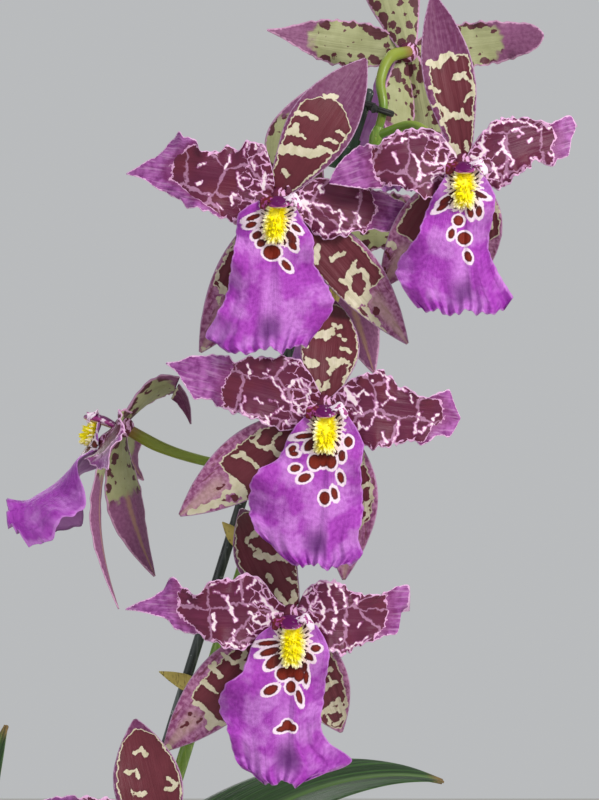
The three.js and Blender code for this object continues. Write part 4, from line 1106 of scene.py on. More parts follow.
TEPALS = {
    "a": {
        "dorsal": {"tip": (14, 54, -6), "width": 21},
        "petal_right": {"tip": (52, 8, -4), "width": 17.5, "phase": 1},
        "petal_left": {"tip": (-50, 6, -4), "width": 17, "phase": 3, "outline": BLUNT_OUTLINE},
        "sepal_right": {"tip": (5, -40, -22), "width": 15, "roll": 0.6},
        "sepal_left": {"tip": (-9, -46, -8), "width": 15, "roll": -0.4},
    },
    "b": {
        "dorsal": {
            "tip": (-10.5, 60, -4), "width": 18, "bow": 5, "purple": (0.59, 0.03, 0.05),
            "margins": (0.66, 0.84),
            "marks": """2 -12,34.5 -9,34 -7,36.5 -5,38; .9 -5,38 -2.5,36.3; 1.5 -8.5,33.3; 1.2 -11.5,26
                -8.5,24.5; 1.8 -3,29.5 0,30.5; .7 0,30 2.5,28.5 4,25; .8 4,24 2,23.5 .5,21.5; .9 -11,19.5
                -9,20 -6.5,18.3 -5,16.5; 1.6 -6,16 -7.7,13.4; 1.8 -5.5,16.5 -1.5,16.3; 1.2 -1.5,16.3 3,15; .7
                -.5,19 -.7,17; 1.2 1,7 1.5,5; 2.4 -4,6 -2,4""",
        },
        "petal_right": {
            "tip": (39, 12.5, -12), "phase": 2.2, "hook": 2, "horn": 0.03, "purple": (0.81, -0.02, 0.09),
            "right": "0,2 .09,5.4 .2,8.4 .3,10.4 .4,10.4 .53,9.6 .62,8.1 .7,5.7 .75,4.2 .84,4.5 .97,4.8 1,.5",
            "left": """0,3 .08,9 .16,12.8 .27,12.2 .36,10.2 .48,9 .58,6.9 .64,8.2 .71,10.3 .78,9 .86,8.3
                .93,3.9 1,.5""",
            "marks": """.8 7.5,11 9,10.5 10,13 14,14.3 18,15 21,14.8 24,13.8 26.5,12 28,12.5; 1.2 26.5,12; .9
                17,11.8 20,11.8 21,10.2; .8 20.7,10.5 19.7,9.5; 1.8 23.7,8; 1.2 13,7 14,7 14,5; 1 14.2,5
                11.5,3; .6 14.5,9.3 14,7; 1 14.5,4.5 16,3 17.5,1 17,-1; 1.1 7,9.5 6.5,7 7,5 8.5,4.5; 1.4
                7.5,4.3 6,1.5 3,2; .6 4,7.2 6.5,7; .8 10.5,0 10.5,-2 12,-2.3; .6 12,-2.3 14.5,-.5 16,1; .9
                11.5,-2.5 12,-4.5 10.8,-6 10,-6.8; 1.3 15.5,-4.2; .6 15,-4.5 13.5,-6; .8 14.5,-7.5 13,-8.3; 2
                6.5,-3.5; .7 30.5,12.5 32,14 32.3,13; .8 30.3,3.5 32,3 33.3,5 33.3,7.7; 1 24,1.8 26.5,.8
                28.5,1; .6 20.5,-2 21,-1""",
        },
        "petal_left": {
            "tip": (-46, -7, 1), "phase": 0.4, "bow": 5, "sway": 2, "hook": 2, "purple": (0.65, 0.02, 0.02),
            "left": "0,2 .1,8.2 .2,11.3 .4,11.3 .5,10.1 .57,7.9 .65,8.5 .72,9.2 .8,8.4 .87,6.6 .94,4 1,.5",
            "right": "0,3 .1,9 .2,11.5 .27,13.5 .32,13 .37,11.2 .45,9.2 .52,7.4 .7,6.5 .8,5 .9,2.8 1,.5",
            "marks": """1.1 -24.5,3.3 -23.8,1.5 -23.3,-.3; .8 -18,3 -16.5,.5 -14.5,0 -12.5,0 -11.5,-1.2
                -9.5,-.4 -6,-.6; .7 -13.3,4.5 -14.2,2 -14.5,0; .8 -7.7,7 -8.7,4.3 -9.3,2 -9.3,0; 1 -6,2.4
                -6,-.5; 1 -15.5,0 -15.5,-3 -15,-5.5; 1.8 -16,-6.3; .8 -15,-4.7 -12,-4.2 -9,-4 -6,-3.5; .8
                -10.5,-4.5 -11,-7 -12.3,-9; 2 -22,-6.7; .7 -21.5,-6.5 -21,-8.5; .7 -22,6.7 -21,8 -17,8.8
                -13.5,9.8 -11,9.7 -8.5,8.2; .8 -15.7,8.5; .6 -12,9.5 -12,7.8; .5 -27.5,5 -25,6.5 -22,6.5; .6
                -19,-10.5 -18.5,-12 -15.5,-13.5; 2.6 -5,6.5 -3,4 -1.5,3""",
        },
        "sepal_right": {"tip": (9, -38, -28), "width": 18},
        "sepal_left": {
            "tip": (-28, -43, -20), "width": 18, "purple": (0.6, 0, 0), "margins": (0.95, 0.76),
            "marks": """2 -28.5,-25 -26,-27.5 -24,-28.5; .8 -29.5,-26 -31,-29; -.9 -29,-30 -28,-34; -1
                -26.5,-30 -25.5,-33; -.7 -27.5,-36 -26,-38""",
        },
    },
    "c": {
        "dorsal": {
            "tip": (30.5, 49, -6), "width": 23, "bow": 6, "purple": (0.66, 0, 0.15), "margins": (0.84, 0.8),
            "marks": """2.7 .5,16.3 4,16.8 7,16 10,15 13,15.3 15,16.3; 1.2 15,16.3 18,16; 2.2 4,23 5.5,22.5
                6,24.3; .8 6.5,22 9,20.7; 1.1 6.5,29 9.5,28.9 11.5,28 13,26.9; .9 16,19.8 18.5,19.6 20,18.7;
                .8 20.5,23 23,21.5; 1.4 1.5,9 3,7.5; 1.3 16,35.2 20,35""",
        },
        "petal_right": {
            "tip": (54, -7.5, -16), "phase": 1.6, "bow": 2.5, "purple": (0.62, 0, 0.06),
            "right": "0,3 .15,7 .35,8 .6,7.5 .7,6 .8,4.2 .9,3 1,.4",
            "left": """0,3 .09,7 .19,9.5 .24,12 .28,13.1 .33,12.9 .42,11.1 .47,9 .54,8.8 .59,7.4 .66,6.4
                .7,7.2 .75,5.9 .8,3 .9,1.8 1,.4""",
            "marks": """2.2 7,-2 9.5,-1.8; 1 8,-2.5 8.2,-4.5; .8 10,-2.2 13,-2.2 15,-3.2 17,-2.5 18.5,-4.8;
                1.3 15,-3; .9 18.5,-5 21.3,-4.7 22.7,-7.3 24,-8; .8 9.5,-3 11,-6 13,-8 15,-9 15,-12.5; 1
                13.5,-8.3 15.5,-9.3; .8 21.5,-7 21.5,-10.5 20.5,-12; .8 13,-12.5 17,-13 20,-12 23.5,-12.2
                26,-11; .9 26.5,-5 28,-6 28,-8.5 28.5,-10.5; .7 29,2.3 27.3,.5; .6 6.5,.2 9,1 11,2; 1.2 14.5,4
                14.5,1.8 15.5,2""",
        },
        "petal_left": {
            "tip": (-53.6, 8.5, -4), "phase": 0.2, "purple": (0.68, 0.11, 0.3),
            "left": """0,4 .04,9.5 .1,15.4 .19,17.2 .23,16.5 .26,14 .34,14.3 .39,12.8 .44,11.5 .49,11.3
                .53,12.6 .58,15 .68,15.9 .71,14.8 .74,12.7 .78,9.1 .87,5.6 .92,3.2 1,.3""",
            "right": "0,3 .1,9.5 .19,10 .24,11.6 .39,10.1 .48,8.8 .53,9.6 .58,8 .63,6.6 .78,3.8 .87,1.3 1,.3",
            "marks": """1.1 -27,5.5 -28.5,4.5; .9 -26,11.8 -27,11.3 -28.2,10.2; .9 -17,14.5 -17.7,11.5
                -19,9.8; .9 -14.5,8.3 -14,6 -14,4 -12.5,2.5; .7 -14,6 -12,6.3 -10,6.5; 1.1 -14.8,.6 -16.3,1
                -16.4,-2.5; .9 -9.2,12.5 -8.8,10.5 -7.5,10.7; 1 -8.8,10.5 -8.7,9.2; 1.3 -8.3,17; .6 -11,19
                -12.3,14.5; .7 -7.8,18 -4,14.5 -1,11 0,9; 1.2 -5,8 -5,6 -5.8,4 -5,3; .7 -7.5,4.6 -5.5,3.2; .6
                -4,6.2 -2,5.5 0,8; .6 -1,5.5 1,4 2,1.5; 1 -9.7,.8 -8,.8; .9 -11,-4 -8,-2.6 -4,-2 -2,-1.5; .8
                -24.7,.5; .5 -22.5,-2.5 -21,-3 -19.5,-4.5""",
        },
        "sepal_right": {
            "tip": (45.5, -51, -14), "width": 19, "sway": -2, "bow": 0.5, "purple": (0.64, 0, 0),
            "margins": (0.8, 0.95),
            "marks": """1.4 18.5,-21.5 21,-20; .8 21,-20 23.5,-18.8; 2 26,-24.5 24.5,-27.5 23.5,-29; .9 22,-29
                24,-28.5; 1.6 13.5,-17 13,-23; 1.1 27,-25.5 30,-25.5 31.3,-28.5 31.2,-33.5; 1 25,-29 25,-33;
                2.6 25,-34.5 29,-36 31,-35; 1.6 24,-35.5 28,-37.5; .9 26.5,-22 26.5,-24; .9 26,-38 29,-41
                33,-45 37,-48; .9 30,-38.5 33,-41.5 36,-45.5 38,-47.5; 1.5 31.5,-40.5 33,-42.5; -1.6 29,-39.2
                30.5,-40.8; -1.8 34,-38.5 34.5,-40.5""",
        },
        "sepal_left": {
            "tip": (-28, -54, -16), "width": 20, "sway": -2, "purple": (0.6, 0, 0), "margins": (0.95, 0.82),
            "marks": """.7 -17.5,-12 -16.3,-14 -15.5,-17; .8 -15.5,-17.5 -18.5,-18.8; 1.1 -19,-21.5; .8
                -22,-25.5 -21.5,-29 -20,-31.5; 2 -20,-32.5 -19,-33; .8 -17,-27 -16.8,-29.5; .7 -17.5,-33
                -18.5,-35.5 -18.5,-37.5 -16.3,-37.3; .7 -21.5,-35 -21,-37.5; 1 -27,-53 -23,-53; -.9
                -24.5,-52.3""",
        },
    },
    "d": {
        "dorsal": {
            "tip": (4, 37, -24), "width": 20.5, "bow": 7, "purple": (0.95, 0, 0.05), "margins": (0.92, 0.9),
            "marks": """2.6 -5.5,15 -3.5,14.2; .9 -6.5,16 -4,15; 2.6 3,14.5 5.5,15; 1 1.5,16 4,15.7 8,15.3;
                1.3 3,14 2,12 1.8,10.5; 2.2 -2.7,7.5; 1.8 0,6 1,7.5; 1.2 -3.5,7 -1,5.5; 1 -9.8,21 -8,21.4
                -6,20.4; 1 6,20 8.7,18.8; 2.4 -3,24.8 0,24.8 2.5,25.8; 1.6 1,23.5; .8 5,24.3 7.3,22.8; 1 3,28
                6,27.5; .7 8.7,14 8,11 6.5,8.3""",
        },
        "petal_right": {
            "tip": (46.7, -4.6, -12), "phase": 2.6, "hook": 2, "bow": 6, "purple": (0.88, 0, 0.2),
            "right": """0,2 .09,6.8 .17,9.9 .26,11.6 .35,13.3 .43,11.8 .52,8.6 .6,8 .65,6.3 .7,5.8 .78,7.4
                .87,9.3 .9,9.2 .94,5.1 1,.5""",
            "left": """0,2 .09,8 .26,13 .35,14.2 .43,13.4 .61,11.2 .69,9.8 .74,11.4 .8,8.2 .87,6.8 .93,7.1
                .96,5 1,.5""",
            "marks": """.7 16,11.5 19,11.3 21.5,9.8 22.5,9; .9 22.5,9.5 22,7 22,4.5 23,2.5 25,2.3; .7 23,2.5
                21,.5 20,0; .9 13.5,4.8 11.5,3 8,4.5; .6 13.5,4.8 15,3.8 17,3.2; 2 8,5 9,2.5 11,1; .9 17.5,1.5
                18,-.5 17.7,-3.5; 1.6 18,.8; .8 17.7,-3.5 16,-7 15,-8.3 12.5,-7.8 12,-5.5; .6 17.7,-3.5
                21,-4.5 22.8,-5; .9 12.5,-1.2 12.6,-2.8 10,-3; .6 12.6,-2.8 14,-3.2; .8 12.5,-7.8 10,-9.5
                8,-8.8; 1.1 16.5,8.5; 1 11,8.3; .9 25.5,-5.5 25.8,-8 25.3,-11 23.5,-13; .9 20.6,-9.7 20.7,-12
                22,-13.3; .8 27,5.3 29,5; .8 30,3 31,1; 1.2 33.5,-3; .9 33.5,-3 32.5,-5.5 31.5,-8 32,-10
                34,-9.5 35.5,-7.8 38,-6.7; .7 38.2,-5.5 39,-3.5 40.5,-3""",
        },
        "petal_left": {
            "tip": (-55.5, 14.6, -4), "phase": 0.8, "purple": (0.6, 0, 0.02),
            "left": """0,3 .05,6 .1,9 .19,12.7 .29,12.4 .38,10.7 .48,9.7 .56,6.6 .61,7.6 .67,7.7 .76,6.3
                .86,4.5 .92,2 1,.3""",
            "right": "0,3 .1,11 .19,12.7 .38,11.2 .57,10.7 .67,9 .73,9 .77,9.8 .81,7.2 .86,4.8 .91,2.4 1,.3",
            "marks": """.8 -26.8,14 -26,11 -26.2,9.5; 1.3 -26,11.3; 1.1 -19.5,12.2; .6 -21.5,10.8 -20,10.6;
                1.2 -14.5,12.8; .7 -18.8,9.3 -17,7.5 -15,5; 1.2 -18.5,9.3; .9 -15,5 -12.5,6 -11,8 -9,9 -7,7.6
                -5.2,5.5; .6 -9,9 -8.5,6 -6,3.2; .9 -15,5 -14.3,3 -13.2,1.3 -11,1 -9,0 -6,.5 -5.8,3 -5,5; .8
                -9,0 -9.3,-1.8 -8.8,-3.3 -6.8,-2.8 -6,0; .6 -13,15.5 -12.5,14.5 -10,14.4 -8,14 -6.5,12.8; 1.2
                -10,14.4; .9 -27.5,3 -28,1.5 -29,0 -29,-2.5; .7 -24,2.4 -22.5,1.2 -21.2,.6; .4 -19.5,1.8
                -16.5,.9; 1.4 -14.7,-1.3; .7 -16,-1.6 -17.5,-3 -20,-5; .6 -20.8,-3.3 -20,-5 -19,-7.5 -17,-8.3;
                1.1 -13.2,-5.3 -12.6,-7.5; .6 -33,-1.5 -31,-2.3 -28.5,-2.6 -25.5,-4 -24,-5.5 -20,-6""",
        },
        "sepal_right": {
            "tip": (7, -62, -16), "width": 21, "sway": -4, "bow": 3, "margins": (0.76, 0.9),
            "marks": """.9 16,-27.8 13.5,-28.5 13,-30; .8 16.5,-28 16.5,-34 14,-34.5; .8 14,-34.5 12.5,-38
                9.5,-41 11,-44; .9 14.5,-34.5 15.5,-38 13,-42 11,-44; .6 12.5,-16 13.5,-18 13,-21""",
        },
        "sepal_left": {
            "tip": (-51, -39, -12), "width": 22, "bow": 3, "purple": (0.63, 0, 0), "margins": (0.95, 0.62),
            "marks": """1 -25.5,-12.5 -23.5,-14 -21,-15.2 -19,-15; .7 -19,-15 -17.5,-12 -15.5,-9.5; 1.6
                -18,-15.5 -16,-17.5; .8 -22.5,-9 -24,-12; 1.4 -29.5,-17 -27.5,-18.3; 1 -27,-18.8 -24.5,-20.5
                -23.5,-22; .7 -29,-17.5 -32.5,-18.3; 2 -32.5,-26 -30,-28.5 -28,-30.5; 2.5 -31,-29.5 -29.5,-31;
                1.2 -28.5,-31 -28,-33.5 -30,-35 -34,-35 -36,-33 -34.5,-30.5 -31,-30; 2.2 -37,-34 -41,-36
                -47,-38.3; -2.6 -31.2,-32.6; -1.4 -35.2,-33.4; -1 -37.5,-29.5 -35,-28; -.6 -36,-36.7; -.6
                -33,-20.5; -.5 -35,-25""",
        },
    },
    "e": {
        "dorsal": {
            "tip": (-18, 36, -24), "width": 20.5, "bow": 7, "purple": (0.95, 0, 0.05),
            "margins": (0.84, 0.92),
            "marks": """1.6 -5,7.5 -3,5 -1,3; 1.8 1,7.5 1,5.5 -.5,3.2; 1.3 -8.5,13.8 -7,11.8; .9 -1,12 2,11
                3.5,10; .7 1,14.5 3,13.5 4.3,11.5; 1.8 -12,20.5 -9,20 -7,19 -4,20 -2,19; .9 -2,19 3,18; .8
                -11,22 -15,23.5 -15.5,26; 1.2 -14.5,26.5 -12,28""",
        },
        "petal_right": {
            "tip": (37.3, -0.3, -13), "phase": 2.9, "hook": 2, "bow": 7, "horn": 0.09,
            "purple": (0.87, 0, 0.12),
            "right": """0,2 .05,6.5 .1,8.9 .2,11.3 .3,11.6 .4,10.6 .46,8.8 .55,7.2 .65,6.8 .75,7.3 .85,8.7
                .93,10 .97,9.8 .985,8 1,.5""",
            "left": "0,3 .1,8 .3,12.5 .4,14 .46,14.4 .6,12.1 .7,10.6 .78,9 .87,7.5 .95,7.6 .98,5.5 1,.5",
            "marks": """.7 7.5,11.2 11,11.5 15.5,10.8 17,9.5 19,6 19,2.5; 1.2 19.2,5.5; 1.1 18.8,3; .8 13,10.5
                13.5,7 15,4.5 15.7,2.5; 1.2 15.7,2.5 15.6,.5; .9 9,6.5 9,5 7,3.5 7,2 8.5,1.3; .5 9.2,10 9,6;
                .9 9,5 11,4 11.5,1.5 11.5,-1; 1.4 11,1.2; .9 11.5,-1 10,-3.5 6,-4 4.5,-5; 1.3 9.5,-3.5; .9
                10.5,-4 12,-5.8 14,-6.3; .8 14,-1.8 16,-1.5 15,-3.5 15,-5; 1.4 14.8,-2.3; 1.2 18.5,-2.5
                20,-3.5; 1 24.5,-3.3 23.7,-4.5; 1.1 17.5,-8.5; 1 22.7,5.5 23.3,3.5; .7 13.5,-11.7 16.5,-12.6
                19.5,-12 21.5,-11 24,-10 27,-8.3; .9 15,-10.5; .8 4.5,6.5 5.5,8.5 7.5,9.3; 2 4.5,2; 1.8
                4.5,-3""",
        },
        "petal_left": {
            "tip": (-58, 1.6, -2), "phase": 1.1, "purple": (0.66, 0.05, 0.09),
            "left": """0,2 .05,4 .13,10 .19,12.7 .24,13.3 .34,11.4 .45,11.2 .48,9.6 .55,5.9 .63,8.5 .66,9.8
                .7,11.7 .74,10.2 .77,7.3 .82,5 .92,2.6 1,.3""",
            "right": """0,2 .1,9 .24,12.6 .29,13.4 .34,13 .39,11.7 .48,10.2 .53,8.5 .63,7.7 .68,6.6 .72,4
                .77,2.3 .92,.6 1,.3""",
            "marks": """1.3 -27,0 -26.6,-2 -27,-4 -26.5,-5; .6 -27,8.5 -24,7 -22.3,6; 1.2 -22.3,6 -21,2
                -20,-.5; 1.9 -19.5,-1.5; .9 -20,-5 -19.7,-7 -20.5,-9.5; .7 -16,3.2 -14,3.8 -12,4.5 -10,5; .8
                -11,7.5 -10,5.5 -8.5,4; 1.6 -9.5,5 -7.5,3 -6.5,1.5; 1 -7,2 -5,1; 1 -15,1 -13,-.5 -12.8,-2
                -10.5,-3.3 -8,-3; .7 -12,.5 -13,-1; 1 -7.5,0 -8,-1.5 -7.8,-3.5; 1 -6.3,.5 -5.5,-2 -6.3,-4; .9
                -15,-5.3 -14,-6.5 -12.5,-6; .8 -19,7.3 -18,10; .9 -15.5,9 -13.5,10.5 -12.5,12.5 -10,11.5
                -8.5,10.8 -7,7; 1 -17,5.5; .6 -29,9.5 -25.5,11.5 -21,11.5 -18,12.8; .8 -23,-9.5 -21,-9.5
                -20,-11 -18,-10.8 -16,-11 -14.5,-9.8; 1.2 -36,4.3""",
        },
        "sepal_right": {
            "tip": (18, -44, -26), "width": 20, "bow": 5, "margins": (0.74, 0.95), "purple": (0.95, 0, 0.05),
            "marks": """1 12,-20.8 14.3,-19.7; 1.3 11.5,-27.5 13.5,-25.5 15.5,-24.7; .8 13.5,-23 14.5,-25; 1.3
                17,-31 14.5,-33.5; 2.2 15,-35 12,-35.5; 1.4 11,-36 9,-37.5; 1 17,-32 17.5,-34 19.5,-34
                19.5,-31.5; 1 16.5,-35.5 18.5,-35.5 19,-38 17,-40 15.5,-41; .8 13,-37.5 14,-40.5""",
        },
        "sepal_left": {
            "tip": (-45, -49, -12), "width": 22, "bow": 3, "purple": (0.67, 0, 0), "margins": (0.95, 0.6),
            "marks": """1.1 -24,-13.8 -22,-16 -19.5,-17.2 -17.5,-16.5; 1.3 -16.3,-12.5 -17,-17 -16.5,-19.5; .9
                -27.5,-16.5 -27,-19; 1.6 -28,-18.7 -26,-20.5 -25,-22; 1.3 -31,-23.8 -29.5,-25; .9 -29.5,-25
                -26,-28; 1.5 -33.5,-31.5 -31,-33 -29,-35.5; 2.4 -29,-36 -28,-38.5 -28.5,-40; 1.2 -27,-37.5
                -24,-39 -22,-39.5; 1.8 -44.5,-48 -43,-48; -1 -36.5,-36 -35,-35; -1.2 -33,-38.5 -31.5,-37; -.9
                -38.5,-40.5 -36,-38.5; -.8 -34,-37; -.8 -37,-39.5""",
        },
    },
    "f": {
        "dorsal": {
            "tip": (0, 13, -22), "width": 17, "bow": 2.8, "lift": 13.2, "roll": 0.45, "purple": (0.5, 0, 0.3),
        },
        "petal_right": {"tip": (43, -14, -6), "width": 21, "phase": 0.5, "bow": 2, "roll": 0.15},
        "petal_left": {"tip": (-42, -15, -16), "width": 22, "phase": 2},
        "sepal_right": {"tip": (10, -57, -33), "width": 17, "bow": 9, "roll": -0.2, "purple": (0.3, 0, 0)},
        "sepal_left": {"tip": (-13, -42, -38), "width": 19, "bow": 5, "roll": -0.5, "purple": (0.45, 0, 0)},
    },
    "g": {
        "dorsal": {
            "tip": (-10.5, 45, -12), "width": 24, "bow": 7, "purple": (0.92, 0, 0.1), "margins": (0.86, 0.9),
            "marks": """.9 -10,34 -7.5,35.5 -6,33; .9 -13,27.5 -9.5,28 -8.5,26; 1 -11,21 -8.5,20 -6,20.5; .9
                5,24 3,22 .5,22; 1.4 2,25.5 4,24; .9 -8,14 -5,15 -3,13; 1 7,16 4,15 2,17; 1.6 -4,8 -1,9; 1.4
                5,7 3,8""",
        },
        "petal_right": {"tip": (50, -8, -8), "width": 24, "phase": 2.4},
        "petal_left": {"tip": (-53, 16, -2), "width": 25, "phase": 0.6},
        "sepal_right": {"tip": (31, -50, -14), "width": 21},
        "sepal_left": {"tip": (-38, -46, -14), "width": 21},
    },
    "h": {
        "dorsal": {"tip": (-5, 57, -4), "width": 22, "sway": 14},
        "petal_right": {"tip": (46, 12, -4), "width": 22, "phase": 1.2},
        "petal_left": {"tip": (-46, 4, -6), "width": 22, "phase": 2.8},
        "sepal_right": {"tip": (18, -44, -12), "width": 19, "purple": (0.38, 0, 0)},
        "sepal_left": {"tip": (-18, -55, -14), "width": 18, "purple": (0.38, 0, 0)},
    },
}
# A sepal without marks has bars across it: (place along, slant, from side, to side, width).
SEPAL_BARS = [
    (0.16, 0.04, -1, 1, 2.2),
    (0.37, -0.05, -1, 0.3, 2.6),
    (0.42, 0.04, 0.5, 1, 1.6),
    (0.57, 0.03, -0.6, 1, 2.8),
]
TEPAL_ROOTS = {
    "dorsal": (0, 2.2, -1),
    "petal_right": (2.2, 1, 0.6),
    "petal_left": (-2.2, 1, 0.6),
    "sepal_right": (1.6, -1.6, -1.4),
    "sepal_left": (-1.6, -1.6, -1.4),
}
TEPAL_THICKNESS = 0.9
CORE_RADIUS = 3.8
CORE_BACK = 1.6
# These blooms are seen from behind, in profile or in part, so a coarser net of points serves them.
COARSE_BLOOMS = "afgh"


def tissue(finish, flat):
    """Fine veins that run along a petal, over the bead-like cells of its skin."""
    veins = finish.grain(finish.scaled(flat, (1.7, 0.08, 1.0)), 1.0, 3)
    beads = finish.grain(flat, 5.5, 1)
    finish.relief(finish.fit(beads, 0.35, veins), 0.00035, 0.55)
    return veins


def net_line(finish, distance, width):
    """1 on the lines of a net and 0 off them."""
    return finish.eased(finish.less(width, distance), -0.018, 0.018)


petal = Finish("petal_face", Roughness=0.4, Specular_IOR_Level=0.25)
petal_flat = petal.mark("flat", "Vector")
petal_lay = petal.mark("lay", "Vector")
petal_t = petal.part(petal_lay, "X")
petal_rim = petal.mark("rim")
petal_veins = tissue(petal, petal_flat)
petal_ragged = petal.shaken(petal.shaken(petal_flat, 0.3, 1.9), 1.2, 0.5)
petal_wide = petal.cracks(petal.scaled(petal_ragged, (0.085, 0.07, 1)), 1.0)
petal_small = petal.cracks(petal.scaled(petal_ragged, (0.26, 0.2, 1)), 1.0)
petal_patch = petal.grain(petal_flat, 0.22, 1)
petal_broken = petal.fit(petal.grain(petal_flat, 0.4, 1), 0.4, -0.08)
# Small meshes crowd round the root and along the margin. A petal that no one has drawn is netted all over.
lace = petal.times(petal.eased(petal_t, 0.3, 0.12), petal.fit(petal.mark("unmarked"), 0.5, 0.5))
lace = petal.maths("MAXIMUM", lace, petal.eased(petal_rim, 2.3, 0.4))
lace = net_line(petal, petal_small, petal.fit(lace, petal_broken, -0.025))
wide_net = net_line(petal, petal_wide, petal.fit(petal_patch, 0.1, -0.018))
petal_lines = petal.maths("MAXIMUM", lace, petal.times(wide_net, petal.mark("unmarked")))
petal_jitter = petal.fit(petal.grain(petal_flat, 0.6, 1), 0.8, -0.46)
petal_jitter = petal.fit(petal.grain(petal_flat, 2.2, 1), 0.2, petal_jitter)
petal_net = petal.plus(petal.mark("net"), petal_jitter)
petal_lines = petal.maths("MAXIMUM", petal_lines, petal.eased(petal_net, 0.24, -0.16))
petal_maroon = petal.blend(petal.grain(petal_flat, 0.13, 3), "440d29", "6c2546")
petal_maroon = petal.tint(petal_maroon, "621f31", petal.grain(petal_flat, 0.08, 2), 0.45, 0.7)
petal_maroon = petal.tint(petal_maroon, "470a2a", petal_net, 1.3, 0.1, 0.55)
petal_maroon = petal.blend(petal.times(petal_veins, 0.2), petal_maroon, "86405e")
petal_maroon = petal.tint(petal_maroon, "a04b86", petal_net, 0.55, 0.1, 0.5)
petal_pale = petal.blend(petal.eased(petal.plus(petal_net, petal_patch), 0.6, 0.2), "dca5cf", "f6e4ea")
petal_colour = petal.blend(petal_lines, petal_maroon, petal_pale)
petal_end = petal.fit(petal.grain(petal_flat, 0.2, 1), 6.0, -3.0)
petal_end = petal.fit(petal.grain(petal_flat, 1.0, 1), 2.4, petal_end)
petal_end = petal.plus(petal_end, petal.less(petal.mark("purple"), 1.2))
petal_purple = petal.blend(petal.eased(petal.grain(petal_flat, 0.35, 4), 0.3, 0.7), "7d3179", "b064ae")
petal_streak = petal.grain(petal.scaled(petal_flat, (1.2, 0.12, 1.0)), 1.0, 3)
petal_purple = petal.tint(petal_purple, "d3a0d0", petal_streak, 0.5, 0.66, 0.4)
petal_purple = petal.tint(petal_purple, "6d2463", petal_streak, 0.45, 0.3, 0.4)
petal_purple = petal.tint(petal_purple, "702551", petal_end, 6.0, 0.5, 0.55)
petal_colour = petal.blend(petal.eased(petal_end, -0.25, 0.25), petal_colour, petal_purple)
petal_border = petal.fit(petal_patch, -2.2, petal.plus(petal.maths("ABSOLUTE", petal_end), 0.95))
petal_colour = petal.blend(petal.eased(petal_border, 0.3, 0.0), petal_colour, petal_pale)
petal_edge = petal.fit(petal.grain(petal_flat, 0.9, 1), 1.3, petal_rim)
petal.colour(petal.tint(petal_colour, "e0b0d8", petal_edge, 1.15, 0.95))

sepal = Finish("sepal_face", Roughness=0.45, Specular_IOR_Level=0.25)
sepal_flat = sepal.mark("flat", "Vector")
sepal_veins = tissue(sepal, sepal_flat)
sepal_ragged = sepal.fit(sepal.grain(sepal_flat, 0.45, 1), 1.8, -0.9)
sepal_ragged = sepal.fit(sepal.grain(sepal_flat, 1.7, 1), 0.5, sepal.less(sepal_ragged, 0.25))
sepal_net = sepal.plus(sepal.mark("net"), sepal.fit(sepal_ragged, 0.8, -0.25))
sepal_isle = sepal.plus(sepal.mark("isle"), sepal.times(sepal_ragged, 0.5))
sepal_field = sepal.fit(sepal_ragged, 1.2, sepal.mark("field"))
sepal_blotch = sepal.maths("MINIMUM", sepal_net, sepal_field)
sepal_maroon = sepal.blend(sepal.grain(sepal_flat, 0.13, 3), "4e1522", "712d3c")
sepal_maroon = sepal.tint(sepal_maroon, "4c1020", sepal_blotch, 1.4, 0.2, 0.5)
sepal_maroon = sepal.blend(sepal.times(sepal_veins, 0.25), sepal_maroon, "86484a")
sepal_cream = sepal.blend(sepal.grain(sepal_flat, 0.35, 2), "b3ac82", "e8decb")
sepal_mauve = sepal.blend(sepal.eased(sepal.grain(sepal_flat, 0.6, 4), 0.35, 0.68), "884271", "bc82a8")
sepal_streak = sepal.grain(sepal.scaled(sepal_flat, (0.9, 0.16, 1)), 1.0, 3)
sepal_mauve = sepal.tint(sepal_mauve, "6f2c40", sepal_streak, 0.55, 0.66, 0.7)
sepal_lay = sepal.mark("lay", "Vector")
sepal_low = sepal.part(sepal_lay, "Z")
sepal_keel = sepal.maths("ABSOLUTE", sepal.part(sepal_lay, "Y"))
sepal_tip = sepal.times(sepal.eased(sepal.mark("purple"), 0.0, 6.0), sepal.eased(sepal_keel, 0.6, 0.1))
sepal_mauve = sepal.blend(sepal.times(sepal.less(1.0, sepal_low), 0.8), sepal_mauve, "60254e")
sepal_mauve = sepal.blend(sepal.times(sepal_tip, sepal.times(sepal_low, 0.52)), sepal_mauve, "ceb0a2")
sepal_colour = sepal.blend(sepal.eased(sepal_field, -0.6, -0.3), sepal_mauve, sepal_cream)
sepal_colour = sepal.blend(sepal.eased(sepal_field, -0.12, 0.15), sepal_colour, sepal_maroon)
sepal_colour = sepal.blend(sepal.eased(sepal_net, 0.12, -0.12), sepal_colour, sepal_cream)
sepal_colour = sepal.blend(sepal.eased(sepal_isle, 0.12, -0.12), sepal_colour, sepal_maroon)
sepal_rim = sepal.fit(sepal.grain(sepal_flat, 0.8, 1), 1.0, sepal.mark("rim"))
sepal.colour(sepal.tint(sepal_colour, "b28bab", sepal_rim, 1.0, 0.7))

